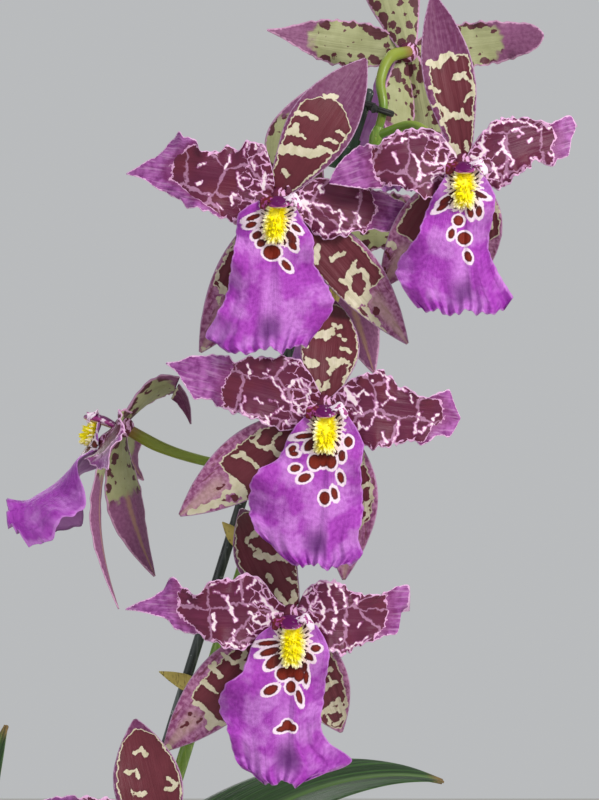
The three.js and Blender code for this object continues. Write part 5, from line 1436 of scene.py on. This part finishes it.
rear = Finish("tepal_back", Roughness=0.5, Specular_IOR_Level=0.25)
back_flat = rear.mark("flat", "Vector")
back_veins = tissue(rear, back_flat)
back_body = rear.blend(rear.grain(back_flat, 0.16, 3), "868b5a", "c0c298")
back_body = rear.blend(rear.times(back_veins, 0.3), back_body, "7f7650")
back_ragged = rear.scaled(rear.shaken(back_flat, 0.9, 0.9), (0.27, 0.24, 1))
back_cell = rear.node("TexVoronoi", {"Vector": back_ragged, "Scale": 1.0}, voronoi_dimensions="2D")
back_rim = rear.mark("rim")
back_reach = rear.times(rear.eased(rear.mark("purple"), -8.0, -20.0), 0.16)
back_reach = rear.fit(rear.eased(back_rim, 6.5, 0.8), 0.42, back_reach)
back_reach = rear.fit(rear.grain(back_flat, 0.2, 1), 0.45, rear.less(back_reach, 0.19))
back_spot = rear.eased(rear.less(back_reach, back_cell), -0.03, 0.04)
back_colour = rear.blend(rear.times(back_spot, 0.95), back_body, "52182e")
back_end = rear.fit(rear.grain(back_flat, 0.3, 2), 8.0, rear.less(rear.mark("purple"), 6.0))
back_purple = rear.blend(rear.grain(back_flat, 0.8, 4), "652852", "a06890")
back_lay = rear.mark("lay", "Vector")
back_keel = rear.fit(rear.grain(back_flat, 0.5, 2), 0.2, rear.maths("ABSOLUTE", rear.part(back_lay, "Y")))
back_keel = rear.times(rear.eased(back_keel, 0.32, 0.12), rear.part(back_lay, "Z"))
back_purple = rear.blend(rear.times(back_keel, 0.7), back_purple, "a98468")
back_colour = rear.blend(rear.eased(back_end, -1.5, 2.0), back_colour, back_purple)
back_edge = rear.fit(rear.grain(back_flat, 0.7, 1), 1.5, back_rim)
rear.colour(rear.tint(back_colour, "c493b4", back_edge, 1.6, 1.1))


def tepal_blade(bloom, name, shape):
    """A petal or sepal, from the core to its tip."""
    kind = PETAL if name.startswith("petal") else SEPAL
    blade = {**kind, **shape}
    root = np.array(TEPAL_ROOTS[name], float)
    middle = (root + blade["tip"]) / 2 + [0, 2 * blade.get("lift", 0), 2 * blade["bow"]]
    ends = [in_bloom(bloom, *place) for place in (root, middle, blade["tip"])]
    blade["spine"] = bent_spine(*ends, bloom_axes(**bloom)[2])
    blade["length"] = np.linalg.norm(np.array(blade["tip"]) - root)
    blade["end"] = lambda u: 1 + blade.get("horn", 0) * np.maximum(-u, 0) ** 3
    return blade


def mark_distance(marks, right, up, maroon=False):
    """How far each point lies outside the nearest pale or maroon mark, in millimetres: below 0 inside."""
    nearest = np.full(right.shape, 50.0)
    right, up = (
        right + 0.3 * np.sin(1.7 * up + 0.6 * right) + 0.16 * np.sin(3.9 * up + 1),
        up + 0.3 * np.sin(1.9 * right - 0.5 * up) + 0.16 * np.sin(4.1 * right),
    )
    for mark in filter(str.strip, marks.split(";")):
        width, places = mark.split(maxsplit=1)
        if width.startswith("-") != maroon:
            continue
        places = pairs(places)
        for (x0, y0), (x1, y1) in zip(places, places[1:] or places):
            length = max((x1 - x0) ** 2 + (y1 - y0) ** 2, 1e-9)
            near = np.clip(((right - x0) * (x1 - x0) + (up - y0) * (y1 - y0)) / length, 0, 1)
            away = np.hypot(right - x0 - near * (x1 - x0), up - y0 - near * (y1 - y0))
            nearest = np.minimum(nearest, away - abs(float(width)) / 2)
    return nearest


def tepal_marks(bloom, blade, is_petal, front, t, u, seed):
    """What a tepal's finish reads at each point, in millimetres over its flattened shape."""
    half = margin_at(blade, t, u)
    length = blade["length"]
    lower, upper = blade.get("margins", (0.85, 0.85))
    start, slant, fall = blade["purple"]
    end = start + slant * u - fall * u * u
    right, up = ((front - bloom["centre"]) @ way for way in bloom_axes(**bloom)[:2])
    net = mark_distance(blade.get("marks", ""), right, up)
    if "marks" not in blade and not is_petal:
        for at, slant, side, other_side, width in SEPAL_BARS:
            off_line = np.abs(t - at - slant * u) * length - width / 2
            past_end = np.maximum(side - u, u - other_side) * half
            net = np.minimum(net, np.maximum(off_line, past_end))
    marks = {
        "flat": rows_of_three(half * u + 137.0 * seed, length * t, 0.0),
        "lay": rows_of_three(t, u, float(blade["tip"][1] < 0)),
        "rim": (1 - np.abs(u)) * half,
        "purple": (t - end) * length,
        "field": np.minimum((np.where(u < 0, lower, upper) - np.abs(u)) * half, (end - t) * length),
        "net": net,
        "isle": mark_distance(blade.get("marks", ""), right, up, maroon=True),
        "unmarked": np.full(net.shape, 0.45 if "marks" in blade else 1.0),
    }
    for name, values in marks.items():
        one_side = values.ravel() if values.shape == net.shape else values
        marks[name] = np.concatenate([one_side, one_side])
    return marks


for order, (bloom_name, tepals) in enumerate(TEPALS.items()):
    bloom = BLOOM_CENTRES[bloom_name]
    under_way = Piece()
    for number, (name, shape) in enumerate(tepals.items()):
        seed = 5 * order + number + 1
        is_petal = name.startswith("petal")
        blade = tepal_blade(bloom, name, shape)
        steps = (97, 43) if is_petal else (73, 35)
        along_steps, across_steps = (57, 25) if bloom_name in COARSE_BLOOMS else steps
        t, u = np.linspace(0, 1, along_steps)[:, None], np.linspace(-1, 1, across_steps)
        ruffle = 0.7 if is_petal else 0.2

        def frill(t, u, seed=seed, ruffle=ruffle):
            waves = np.sin(2 * np.pi * 7.3 * t + 1.7 * seed + np.where(u < 0, 1, 0))
            waves = waves + 0.6 * np.sin(2 * np.pi * 12.1 * t + seed)
            ribs = 0.09 * np.cos(7 * np.pi * u) * np.sin(np.pi * t)
            furrow = 0.35 * np.exp(-((u / 0.09) ** 2)) * (1 - t)
            fade = np.abs(u) ** 4 * np.sin(np.pi * np.minimum(1, t * 1.1))
            return ruffle * waves * fade + ribs - furrow

        blade["frill"] = frill
        half_thick = TEPAL_THICKNESS / 2 * (1 - 0.75 * np.abs(u) ** 4) * (1 - 0.5 * t**3)
        front = blade_points(blade, t, u, half_thick)
        points, faces = sheet(front, blade_points(blade, t, u, -half_thick))
        face_finish = 0 if is_petal else 1
        marks = tepal_marks(bloom, blade, is_petal, front, t, u, seed)
        under_way.add(points, faces, (face_finish, 2, face_finish), **marks)
    lift = np.linspace(-1.35, 1.35, 13)
    core_round = zip(CORE_RADIUS * np.cos(lift), CORE_RADIUS * np.sin(lift))
    core, core_faces = turned([(0, -CORE_RADIUS), *core_round, (0, CORE_RADIUS)], 24)
    plain = {"rim": 5.0, "purple": -30.0, "field": 5.0, "net": 2.0, "isle": 5.0, "unmarked": 1.0}
    plain.update(flat=core, lay=np.broadcast_to((0.1, 0.0, 0.0), core.shape))
    under_way.add(core + in_bloom(bloom, 0, 0, -CORE_BACK), core_faces, 0, **plain)
    tepals_piece = under_way.make(f"bloom_{bloom_name}_petals_and_sepals", petal, sepal, rear)
    stand(tepals_piece, "tepals", f"bloom_{bloom_name}_tepals")


# The lips: one wide violet-pink apron each, hung by a narrow root, furrowed down its middle and frilled at
# its end. Red-brown spots ringed with white lie under the crest, and short dark dashes fan out from its
# sides.

# A spot is its place (right,up) from the bloom's centre, its half length and half width, and its turn in
# degrees.
SPOTS = """-8.2,-9.4,2.6,.7,8; -7.6,-12.6,2.8,.9,22; -6.2,-15.8,2.6,1.2,40; 7.4,-10.4,1.6,.8,-20;
    7,-13.6,1.9,1,-42; -2.8,-20.2,1.8,2,0; 0,-19.4,1.7,2.1,0; 2.8,-20.4,1.6,2,0; -6,-25,1.9,1.1,25;
    .4,-26,1.3,1.7,0"""
# left and right are how far each margin lies from the middle line, in millimetres: left is the viewer's.
LIP = {
    "cup": 0.1, "tip_cup": -0.34, "wave": 3.8, "waves": 2.5, "phase": 0.6, "crimp": 0.013,
    "left": "0,6 .1,11 .25,13.5 .4,16.5 .55,20.5 .72,21 .88,19 1,13",
    "right": "0,6 .1,11 .25,13 .4,15 .55,18 .72,20 .88,19.5 1,13",
    "spots": SPOTS,
}
LIP_ROOT_UP = -2.8
LIP_ROOT_FRONT = 6.4
LIP_THICKNESS = 0.95
LIPS = {
    "a": {"tip": (0, -50, 14)},
    "b": {
        "tip": (0, -53, 12),
        "left": "0,5 .1,8 .2,11 .38,14.5 .5,16.5 .62,21.8 .75,23.5 .88,20.5 1,16",
        "right": "0,5 .1,9 .2,11 .38,9.8 .55,8.8 .68,9.6 .8,12.5 .95,17.2 1,16",
        "spots": """-6.2,-13.4,2.1,.8,32; -7.4,-15.8,1.8,.6,30; 5.6,-11.6,2,.7,-20; 5.2,-17.4,.9,1.6,0;
            2.2,-17.6,.9,1.7,10; -1.9,-20.6,1.6,1.6,0; -4.4,-25.2,.9,1.4,-15; .1,-26.8,2.1,2,0;
            1.4,-33.2,1,1.6,20""",
    },
    "c": {
        "root": 0, "tip": (-3, -54, 11), "bend": (-4.5, -29, 5), "phase": 1.4,
        "left": "0,7 .06,11 .12,13.4 .3,13.2 .5,14 .7,15.5 .84,19 .95,22.5 1,19",
        "right": "0,6 .11,10 .2,13.5 .4,15 .52,19 .66,22 .75,22.2 .88,18 1,14",
        "spots": """-8.8,-7.4,2,.6,20; -9.6,-10,1.6,.8,15; -7.6,-13.6,1.5,1.1,30; -6.2,-16.4,1.3,1.1,20;
            -3.4,-14.8,1.4,1.1,50; 6,-11.2,1.5,.7,-40; 4.2,-14.2,2.2,1.1,-50; 4.8,-17.2,1.6,.9,-50;
            -2.4,-19.6,2.8,2.3,0; 2.6,-24.2,1.8,.9,-48""",
    },
    "d": {
        "root": 1, "tip": (-3, -56, 13),
        "left": "0,6 .1,10.5 .2,13.2 .34,16 .43,22 .52,24.6 .7,24.6 .85,22 .94,17 1,11",
        "right": "0,7 .1,11 .2,13.5 .35,13 .52,14.4 .68,15 .84,14 .94,16 1,13",
        "spots": """-6.8,-10.8,3,.7,8; -4.8,-13.8,2.4,1.4,42; -11.2,-15.2,1.2,.8,30; -10.6,-17,1.2,.7,0;
            -10.2,-22,1.5,1.1,10; -7,-25.3,2,1.2,22; -3.4,-19.8,1.9,2.3,0; -.5,-18.8,1.6,2.4,0;
            2.3,-19.6,1.6,2.3,0; 8.3,-12.8,1.3,1.6,0; 6,-17.6,1,1.6,0; 5.6,-25.2,.9,1.6,15; 0,-32.3,1.6,2,0;
            3.4,-30.8,.9,1.7,15""",
    },
    "e": {
        "root": 1, "tip": (-2, -58, 13), "phase": 1.9,
        "left": "0,6.5 .1,12.5 .26,15.7 .34,17 .44,22.8 .58,24.4 .7,21.5 .85,19 .96,16.5 1,12",
        "right": "0,8 .1,11.5 .18,13 .34,12.4 .5,12 .64,11.4 .76,14 .86,22.5 .92,21 1,10",
        "spots": """-7.9,-9.6,2.9,.7,6; -7.4,-12.6,3,1,18; -5.9,-16,3,1.6,38; 8.6,-11.4,1.5,1,0;
            6.2,-14.2,1.6,.9,-40; 4.8,-17.8,.7,1.2,0; -2.8,-20.2,2,2,0; 0,-19.2,1.8,2.2,0;
            2.8,-20.4,1.7,2.2,0; 5.3,-21.4,.7,1.8,0; -7,-25.8,2.3,1.3,25; 0,-24.8,1.5,1.8,0;
            2.9,-28.2,.8,2,15; -1.2,-38,1.6,1.6,0; -3,-39.2,1.6,.8,15; .6,-38.8,1.1,1.1,0""",
    },
    "f": {
        "tip": (0, -45, 21), "bend": (0, -31, 4), "tip_cup": -1.1, "crest": 0.16,
        "left": "0,5 .1,7.5 .3,13 .5,18 .75,20 1,14",
        "right": "0,5 .1,7.5 .3,13 .5,18 .75,20 1,14",
    },
    "g": {"tip": (2, -56, 13), "phase": 1},
    "h": {"tip": (0, -51, 13)},
}


def lip_blade(bloom, shape):
    """The lip hangs from its narrow root, then swings forward into a broad apron."""
    blade = {**LIP, **shape}
    right, up, front = blade["tip"]
    base = in_bloom(bloom, blade.get("root", 0), LIP_ROOT_UP, LIP_ROOT_FRONT)
    bend = in_bloom(bloom, *blade.get("bend", (right * 0.4, up * 0.55, front * 0.25 + 3)))

    def end(u):
        """The end is cut into small uneven teeth, with a shallow notch in the middle."""
        rounded = 1 - 0.09 * u**4 - 0.018 * np.exp(-((u / 0.12) ** 2))
        return rounded + 0.012 * np.sin(8.3 * u + right) + 0.009 * np.sin(19 * u + 2 * right)

    blade["end"] = end
    blade["spine"] = bent_spine(base, bend, in_bloom(bloom, right, up, front), bloom_axes(**bloom)[2])
    blade["length"] = np.linalg.norm(np.array([right, up - LIP_ROOT_UP, front - LIP_ROOT_FRONT]))
    return blade


lip = Finish("lip_face", Roughness=0.4, Specular_IOR_Level=0.22)
lip_flat = lip.mark("flat", "Vector")
lip_lay = lip.mark("lay", "Vector")
lip_u = lip.part(lip_lay, "Y")
lip_t = lip.part(lip_lay, "X")
lip_streaks = lip.grain(lip.shaken(lip.scaled(lip_lay, (2.6, 15.0, 1.0)), 1.4, 0.5), 1.0, 6)
lip_mottle = lip.grain(lip_flat, 0.75, 5)
lip_body = lip.blend(lip.eased(lip_mottle, 0.25, 0.7), "972ba6", "b147bf")
lip_body = lip.tint(lip_body, "86299a", lip_streaks, 0.52, 0.72, 0.25)
lip_clouds = lip.eased(lip.grain(lip_flat, 0.1, 2), 0.44, 0.62)
lip_middle = lip.times(lip.eased(lip.maths("ABSOLUTE", lip_u), 0.3, 0.04), lip.eased(lip_t, 0.35, 0.6))
lip_light = lip.times(lip.maths("MAXIMUM", lip_clouds, lip_middle), lip.fit(lip_mottle, 0.85, 0.15))
lip_body = lip.blend(lip.times(lip_light, 0.8), lip_body, "dd9aea")
# Painted shade: the valleys of the lip's waves are darkened in colour, as if in shade.
lip_painted_fold_shade = lip.eased(lip.fit(lip_mottle, 0.8, lip.mark("fold")), 0.15, -0.45)
lip_body = lip.blend(lip.times(lip_painted_fold_shade, 0.6), lip_body, "8d2f9c")
lip_rim = lip.fit(lip.grain(lip_flat, 0.5, 2), 1.6, lip.mark("rim"))
lip_body = lip.tint(lip_body, "d693e2", lip_rim, 1.5, 1.0, 0.55)
# Painted shade: the hollow above the notch at the lip's end is darkened in colour.
lip_notch_painted_shade = lip.times(lip.eased(lip_t, 0.7, 0.85), lip.eased(lip.maths("ABSOLUTE", lip_u), 0.34, 0.06))
lip_notch_painted_shade = lip.times(lip_notch_painted_shade, lip.eased(lip_t, 0.98, 0.88))
lip_body = lip.blend(lip.times(lip_notch_painted_shade, 0.8), lip_body, "5d1f6e")
lip_ragged = lip.fit(lip.grain(lip_flat, 1.1, 2), 1.2, -0.6)
lip_crown = lip.fit(lip_ragged, 2.4, lip.mark("crown"))
lip_ray = lip.maths("SINE", lip.fit(lip.mark("ray"), 22.0, lip.times(lip_ragged, 2.6)))
lip_white = lip.eased(lip.fit(lip_ray, -0.6, lip_crown), 4.0, 3.5)
lip_spots = lip.fit(lip_ragged, 0.45, lip.less(lip.mark("spots"), 0.25))
lip_white = lip.maths("MAXIMUM", lip_white, lip.eased(lip_spots, 0.85, 0.55))
lip_body = lip.blend(lip_white, lip_body, lip.blend(lip.eased(lip_crown, 3.5, 0.5), "f8e2f2", "f9dfc8"))
lip_dash = lip.times(lip.eased(lip_crown, 2.9, 2.3), lip.eased(lip_ray, 0.1, 0.4))
lip_spot = lip.maths("MAXIMUM", lip_dash, lip.eased(lip_spots, 0.12, -0.12))
lip_red = lip.blend(lip.eased(lip.mark("crown"), 0.5, 7.0), "3c0a10", "7c1d08")
lip_red = lip.tint(lip_red, "430b18", lip_spots, -0.8, 0.0, 0.75)
lip.colour(lip.blend(lip_spot, lip_body, lip_red))
lip.relief(lip.fit(lip.grain(lip_flat, 3.5, 2), 0.6, lip_streaks), 0.0006, 0.7)

lip_back = Finish("lip_back", Roughness=0.5, Specular_IOR_Level=0.25)
lip_back_flat = lip_back.mark("flat", "Vector")
lip_back_body = lip_back.blend(lip_back.grain(lip_back_flat, 0.3, 4), "9650a0", "c893d0")
lip_back_veins = lip_back.grain(lip_back.scaled(lip_back.mark("lay", "Vector"), (2.2, 13.0, 1.0)), 1.0, 3)
lip_back_dark = lip_back.times(lip_back.eased(lip_back_veins, 0.5, 0.7), 0.5)
lip_back.colour(lip_back.blend(lip_back_dark, lip_back_body, "7c3a86"))
lip_back.relief(lip_back_veins, 0.0004, 0.5)


def spot_distance(spots, right, up):
    """How far each point is outside the nearest spot, in millimetres, and below 0 inside one."""
    nearest = np.full(right.shape, 50.0)
    for spot in spots.split(";"):
        spot_right, spot_up, long, wide, turn = map(float, spot.split(","))
        turn = math.radians(turn)
        x = (right - spot_right) * math.cos(turn) + (up - spot_up) * math.sin(turn)
        y = (up - spot_up) * math.cos(turn) - (right - spot_right) * math.sin(turn)
        nearest = np.minimum(nearest, (np.hypot(x / long, y / wide) - 1) * min(long, wide))
    return nearest


CREST_FROM = 0.03
CREST_TO = 0.235
CREST_HALF_WIDTH = 2.6

for order, (bloom_name, shape) in enumerate(LIPS.items()):
    bloom = BLOOM_CENTRES[bloom_name]
    blade = lip_blade(bloom, shape)
    along_steps, across_steps = (61, 41) if bloom_name in COARSE_BLOOMS else (89, 61)
    t, u = np.linspace(0, 1, along_steps)[:, None], np.linspace(-1, 1, across_steps)

    def lip_frill(t, u, order=order):
        fine = 0.7 * np.sin(2 * np.pi * 10.7 * t + 2 * order + np.where(u < 0, 2, 0))
        fine = np.sin(2 * np.pi * 6.1 * t + order) + fine
        end_fine = t**12 * np.sin(2 * np.pi * 5.3 * u + 1.7 * u**2 + order)
        end_fine = t**5 * np.sin(2 * np.pi * 1.7 * u + order) + end_fine
        furrow = -1.1 * np.exp(-((u / 0.1) ** 2)) * np.sin(np.pi * t) ** 0.7 + 0.1 * np.cos(9 * np.pi * u) * t
        hollow = -1.8 * np.exp(-((u / 0.26) ** 2) - ((t - 0.86) / 0.08) ** 2)
        return 0.55 * fine * np.abs(u) ** 4 * t + 1.6 * end_fine + furrow + hollow

    blade["frill"] = lip_frill
    half_thick = LIP_THICKNESS / 2 * (1 - 0.78 * np.abs(u) ** 5) * (1 - 0.7 * t**8)
    front = blade_points(blade, t, u, half_thick)
    points, faces = sheet(front, blade_points(blade, t, u, -half_thick))
    right, up = ((front - bloom["centre"]) @ way for way in bloom_axes(**bloom)[:2])
    half = margin_at(blade, t, u)
    beside = np.maximum(np.abs(half * u) - CREST_HALF_WIDTH, 0)
    below = (t - CREST_TO) * blade["length"]
    # The "fold" mark follows the lip's waves, so that the finish can paint shade into their valleys.
    painted_fold_shade_waves = np.sin(2 * np.pi * blade["waves"] * t + blade["phase"] + np.where(u < 0, 2, 0))
    marks = {
        "flat": rows_of_three(half * u + 61.0 * order, blade["length"] * t, 0.0),
        "lay": rows_of_three(t, u, 7.3 * order),
        "crown": np.hypot(beside, 1.7 * np.maximum(below, 0)).ravel(),
        "ray": np.arctan2(half * u, below + 7.0).ravel(),
        "fold": (painted_fold_shade_waves * np.abs(u) ** 1.5).ravel(),
        "rim": np.minimum((1 - np.abs(u)) * half, (1 - t) * blade["length"]).ravel(),
        "spots": spot_distance(blade["spots"], right, up).ravel(),
    }
    under_way = Piece()
    under_way.add(points, faces, (0, 1, 0), **{mark: np.concatenate([v, v]) for mark, v in marks.items()})
    stand(under_way.make(f"bloom_{bloom_name}_apron", lip, lip_back), "lip", f"bloom_{bloom_name}_lip")


# The crests: a bright yellow pad on each lip's root, grown over with fleshy pointed teeth that lean out from
# its middle and whiten at their tips.

CREST_HEIGHT = 3.4
CREST_GAP = 0.7
CREST_ROWS = 27
CREST_COLUMNS = 17

yellow = Finish("crest_yellow", Roughness=0.5, Specular_IOR_Level=0.25)
crest_at = yellow.place()
crest_tip = yellow.mark("tooth_tip")
crest_body = yellow.blend(yellow.grain(crest_at, 500, 2), "fbe600", "fff640")
crest_body = yellow.tint(crest_body, "fff200", crest_tip, 0.0, 0.5)
crest_pale = yellow.times(yellow.eased(crest_tip, 0.3, 0.9), yellow.eased(yellow.mark("outer"), 0.7, 1.0))
yellow.colour(yellow.blend(crest_pale, crest_body, "fff9cf"))
yellow.relief(yellow.grain(crest_at, 1800, 2), 0.0002, 0.5)

toothing = Growth("crest_teeth", Density=1.2e6, Length=0.0024, Girth=0.00078, Seed=3)
tooth_points = toothing.tree.nodes.new("GeometryNodeDistributePointsOnFaces")
toothing.tree.links.new(toothing.size("Geometry"), tooth_points.inputs["Mesh"])
toothing.tree.links.new(toothing.size("Density"), tooth_points.inputs["Density"])
toothing.tree.links.new(toothing.size("Seed"), tooth_points.inputs["Seed"])
tooth_lean = toothing.node("InputNamedAttribute", {"Name": "lean"}, data_type="FLOAT_VECTOR")
tooth_scatter = toothing.random((-0.3, -0.3, -0.3), (0.3, 0.3, 0.3), toothing.size("Seed"))
tooth_way = toothing.node("ShaderNodeVectorMath", {0: tooth_lean, 1: tooth_scatter}, operation="ADD")
tooth_turn = toothing.node("FunctionNodeAlignRotationToVector", {"Vector": tooth_way}, axis="Z")
cone_form = {"Vertices": 6, "Side Segments": 2, "Radius Top": 0.0002}
cone_form.update({"Radius Bottom": toothing.size("Girth"), "Depth": toothing.size("Length")})
tooth_cone = toothing.node("MeshCone", cone_form)
tooth_share = toothing.node("ShaderNodeSeparateXYZ", {0: toothing.node("InputPosition")}, output=2)
tooth_share = toothing.maths("DIVIDE", tooth_share, toothing.size("Length"))
tooth_mark = {"Geometry": tooth_cone, "Name": "tooth_tip", "Value": tooth_share}
tooth_cone = toothing.node("StoreNamedAttribute", tooth_mark, data_type="FLOAT", domain="POINT")
tooth_outer = toothing.node("InputNamedAttribute", {"Name": "outer"}, data_type="FLOAT")
tooth_size = toothing.fit(tooth_outer, 0.95, 0.14)
tooth_size = toothing.times(toothing.random(0.7, 1.2, toothing.size("Seed")), tooth_size)
tooth_copies = {"Points": tooth_points.outputs["Points"], "Instance": tooth_cone}
tooth_copies.update({"Rotation": tooth_turn, "Scale": tooth_size})
teeth = toothing.node("InstanceOnPoints", tooth_copies)
pad_and_teeth = toothing.tree.nodes.new("GeometryNodeJoinGeometry")
toothing.tree.links.new(toothing.size("Geometry"), pad_and_teeth.inputs[0])
toothing.tree.links.new(teeth, pad_and_teeth.inputs[0])
toothing.done(pad_and_teeth.outputs[0], yellow)

for order, (bloom_name, shape) in enumerate(LIPS.items()):
    blade = lip_blade(BLOOM_CENTRES[bloom_name], shape)
    bed_shape = f"0,{CREST_HALF_WIDTH} 1,{CREST_HALF_WIDTH}"
    blade.update(left=bed_shape, right=bed_shape, crimp=0, cup=0.02, tip_cup=0.02)
    row, across = np.linspace(0, 1, CREST_ROWS)[:, None], np.linspace(-1, 1, CREST_COLUMNS)
    t = CREST_FROM + (shape.get("crest", CREST_TO) - CREST_FROM) * row
    narrow = 0.5 + 0.5 * np.sin(np.pi * (row * 4.6 + 0.6) / 6)
    rise = 0.5 + 0.6 * CREST_HEIGHT * (1 - 0.8 * across**2) * np.sin(np.pi * (row * 5 + 0.8) / 6)
    bed = LIP_THICKNESS / 2 + CREST_GAP
    top = blade_points(blade, t, across * narrow, bed + rise)
    foot = blade_points(blade, t, across * narrow, bed - 0.9)
    _, along, face_up = blade["spine"](np.broadcast_to(t, (CREST_ROWS, CREST_COLUMNS)))
    sideways = crossed(along, face_up) * across[None, :, None] * 0.9
    lean = face_up + sideways + along * (row[..., None] * 1.6 - 0.5)
    lean = np.tile(lean.reshape(-1, 3), (2, 1))
    outer = np.tile(np.maximum(np.abs(across), row * 0.95).ravel(), 2)
    points, faces = sheet(top, foot)
    under_way = Piece()
    under_way.add(points, faces, lean=lean, tooth_tip=0.0, outer=outer)
    pad = under_way.make("crest_pad", yellow)
    crest = grow(f"bloom_{bloom_name}_toothed_crest", pad, toothing, Seed=order + 3)
    stand(crest, "crest", f"bloom_{bloom_name}_crest")


# The columns: a short flattened violet club that leans out over each crest, dark on its back and cream below.
# Of its two flecked wings the right one is pale and the left one is stained red-brown.

COLUMN_ROOT = (0, -1.5, 1)
COLUMN_BEND = (0, -1.4, 8)
COLUMN_TIP = (0, -4.2, 12.8)
COLUMN_RADIUS = 2.9
COLUMN_RINGS = 41
COLUMN_SIDES = 32
WING_OUTLINE = [(0, 0.6), (0.4, 1), (0.8, 0.8), (1, 0.4)]
# Each wing's root, bend and tip in its bloom, and where its side lies on the scale from stained to pale.
WINGS = [
    ((-1.8, -2.2, 9.5), (-4.8, -0.6, 10.6), (-5.6, -4.8, 9.6), -0.75),
    ((1.8, -2.2, 9.5), (5.4, 1.4, 11), (7.4, -4.8, 10), 0.75),
]

violet = Finish("column_violet", Roughness=0.45, Specular_IOR_Level=0.2)
column_at = violet.place()
column_over = violet.mark("over")
column_body = violet.blend(violet.grain(column_at, 420, 3), "8a2a68", "b5569f")
column_body = violet.tint(column_body, "5f0d54", column_over, 0.2, 0.7)
column_body = violet.tint(column_body, "e8cf94", column_over, -0.4, -0.7)
column_side = violet.fit(violet.grain(column_at, 700, 2), 2.4, violet.mark("side"))
column_body = violet.tint(column_body, "661c22", column_side, 0.75, 0.4)
violet.colour(violet.tint(column_body, "efdcec", column_side, 1.6, 1.9))
violet.relief(violet.grain(column_at, 1500, 2), 0.0002, 0.5)

for bloom_name, bloom in BLOOM_CENTRES.items():
    right, up, front = bloom_axes(**bloom)
    spine = bent_spine(*(in_bloom(bloom, *place) for place in (COLUMN_ROOT, COLUMN_BEND, COLUMN_TIP)), up)
    t = np.linspace(0, 1, COLUMN_RINGS)
    point, along, crown_up = spine(t)
    crown_side = np.cross(crown_up, along)
    angle = np.linspace(0, 2 * np.pi, COLUMN_SIDES, endpoint=False)
    swell = COLUMN_RADIUS * (0.75 + 0.35 * np.sin(np.pi * np.minimum(1, t * 1.1)))
    swell = swell * np.sqrt(np.clip(1 - (t.clip(0.86) - 0.86) ** 2 / 0.02, 0.02, 1))
    height = np.where(np.cos(angle) < 0, 0.5, 0.6) * np.cos(angle) * swell[:, None]
    width = 1.45 * np.sin(angle) * swell[:, None]
    rings = point[:, None] + crown_up[:, None] * height[..., None] + crown_side[:, None] * width[..., None]
    under_way = Piece()
    club = np.concatenate([rings.reshape(-1, 3), point[:1], point[-1:]])
    over, aside = (np.append(np.tile(turn, COLUMN_RINGS), [0, 0]) for turn in (np.cos(angle), np.sin(angle)))
    under_way.add(club, tube_faces(COLUMN_RINGS, COLUMN_SIDES), over=over, side=0.35 * aside)
    t, u = np.linspace(0, 1, 17)[:, None], np.linspace(-1, 1, 11)
    for *ends, side in WINGS:
        wing = {"width": 3.8, "cup": 0.2, "wave": 0.6, "waves": 2, "outline": WING_OUTLINE}
        wing["spine"] = bent_spine(*(in_bloom(bloom, *place) for place in ends), up + 0.8 * front)
        points, faces = sheet(blade_points(wing, t, u, 0.25), blade_points(wing, t, u, -0.25))
        under_way.add(points, faces, over=0.0, side=side)
    column = under_way.make(f"bloom_{bloom_name}_column", violet)
    stand(column, "lip", f"bloom_{bloom_name}_tepals")
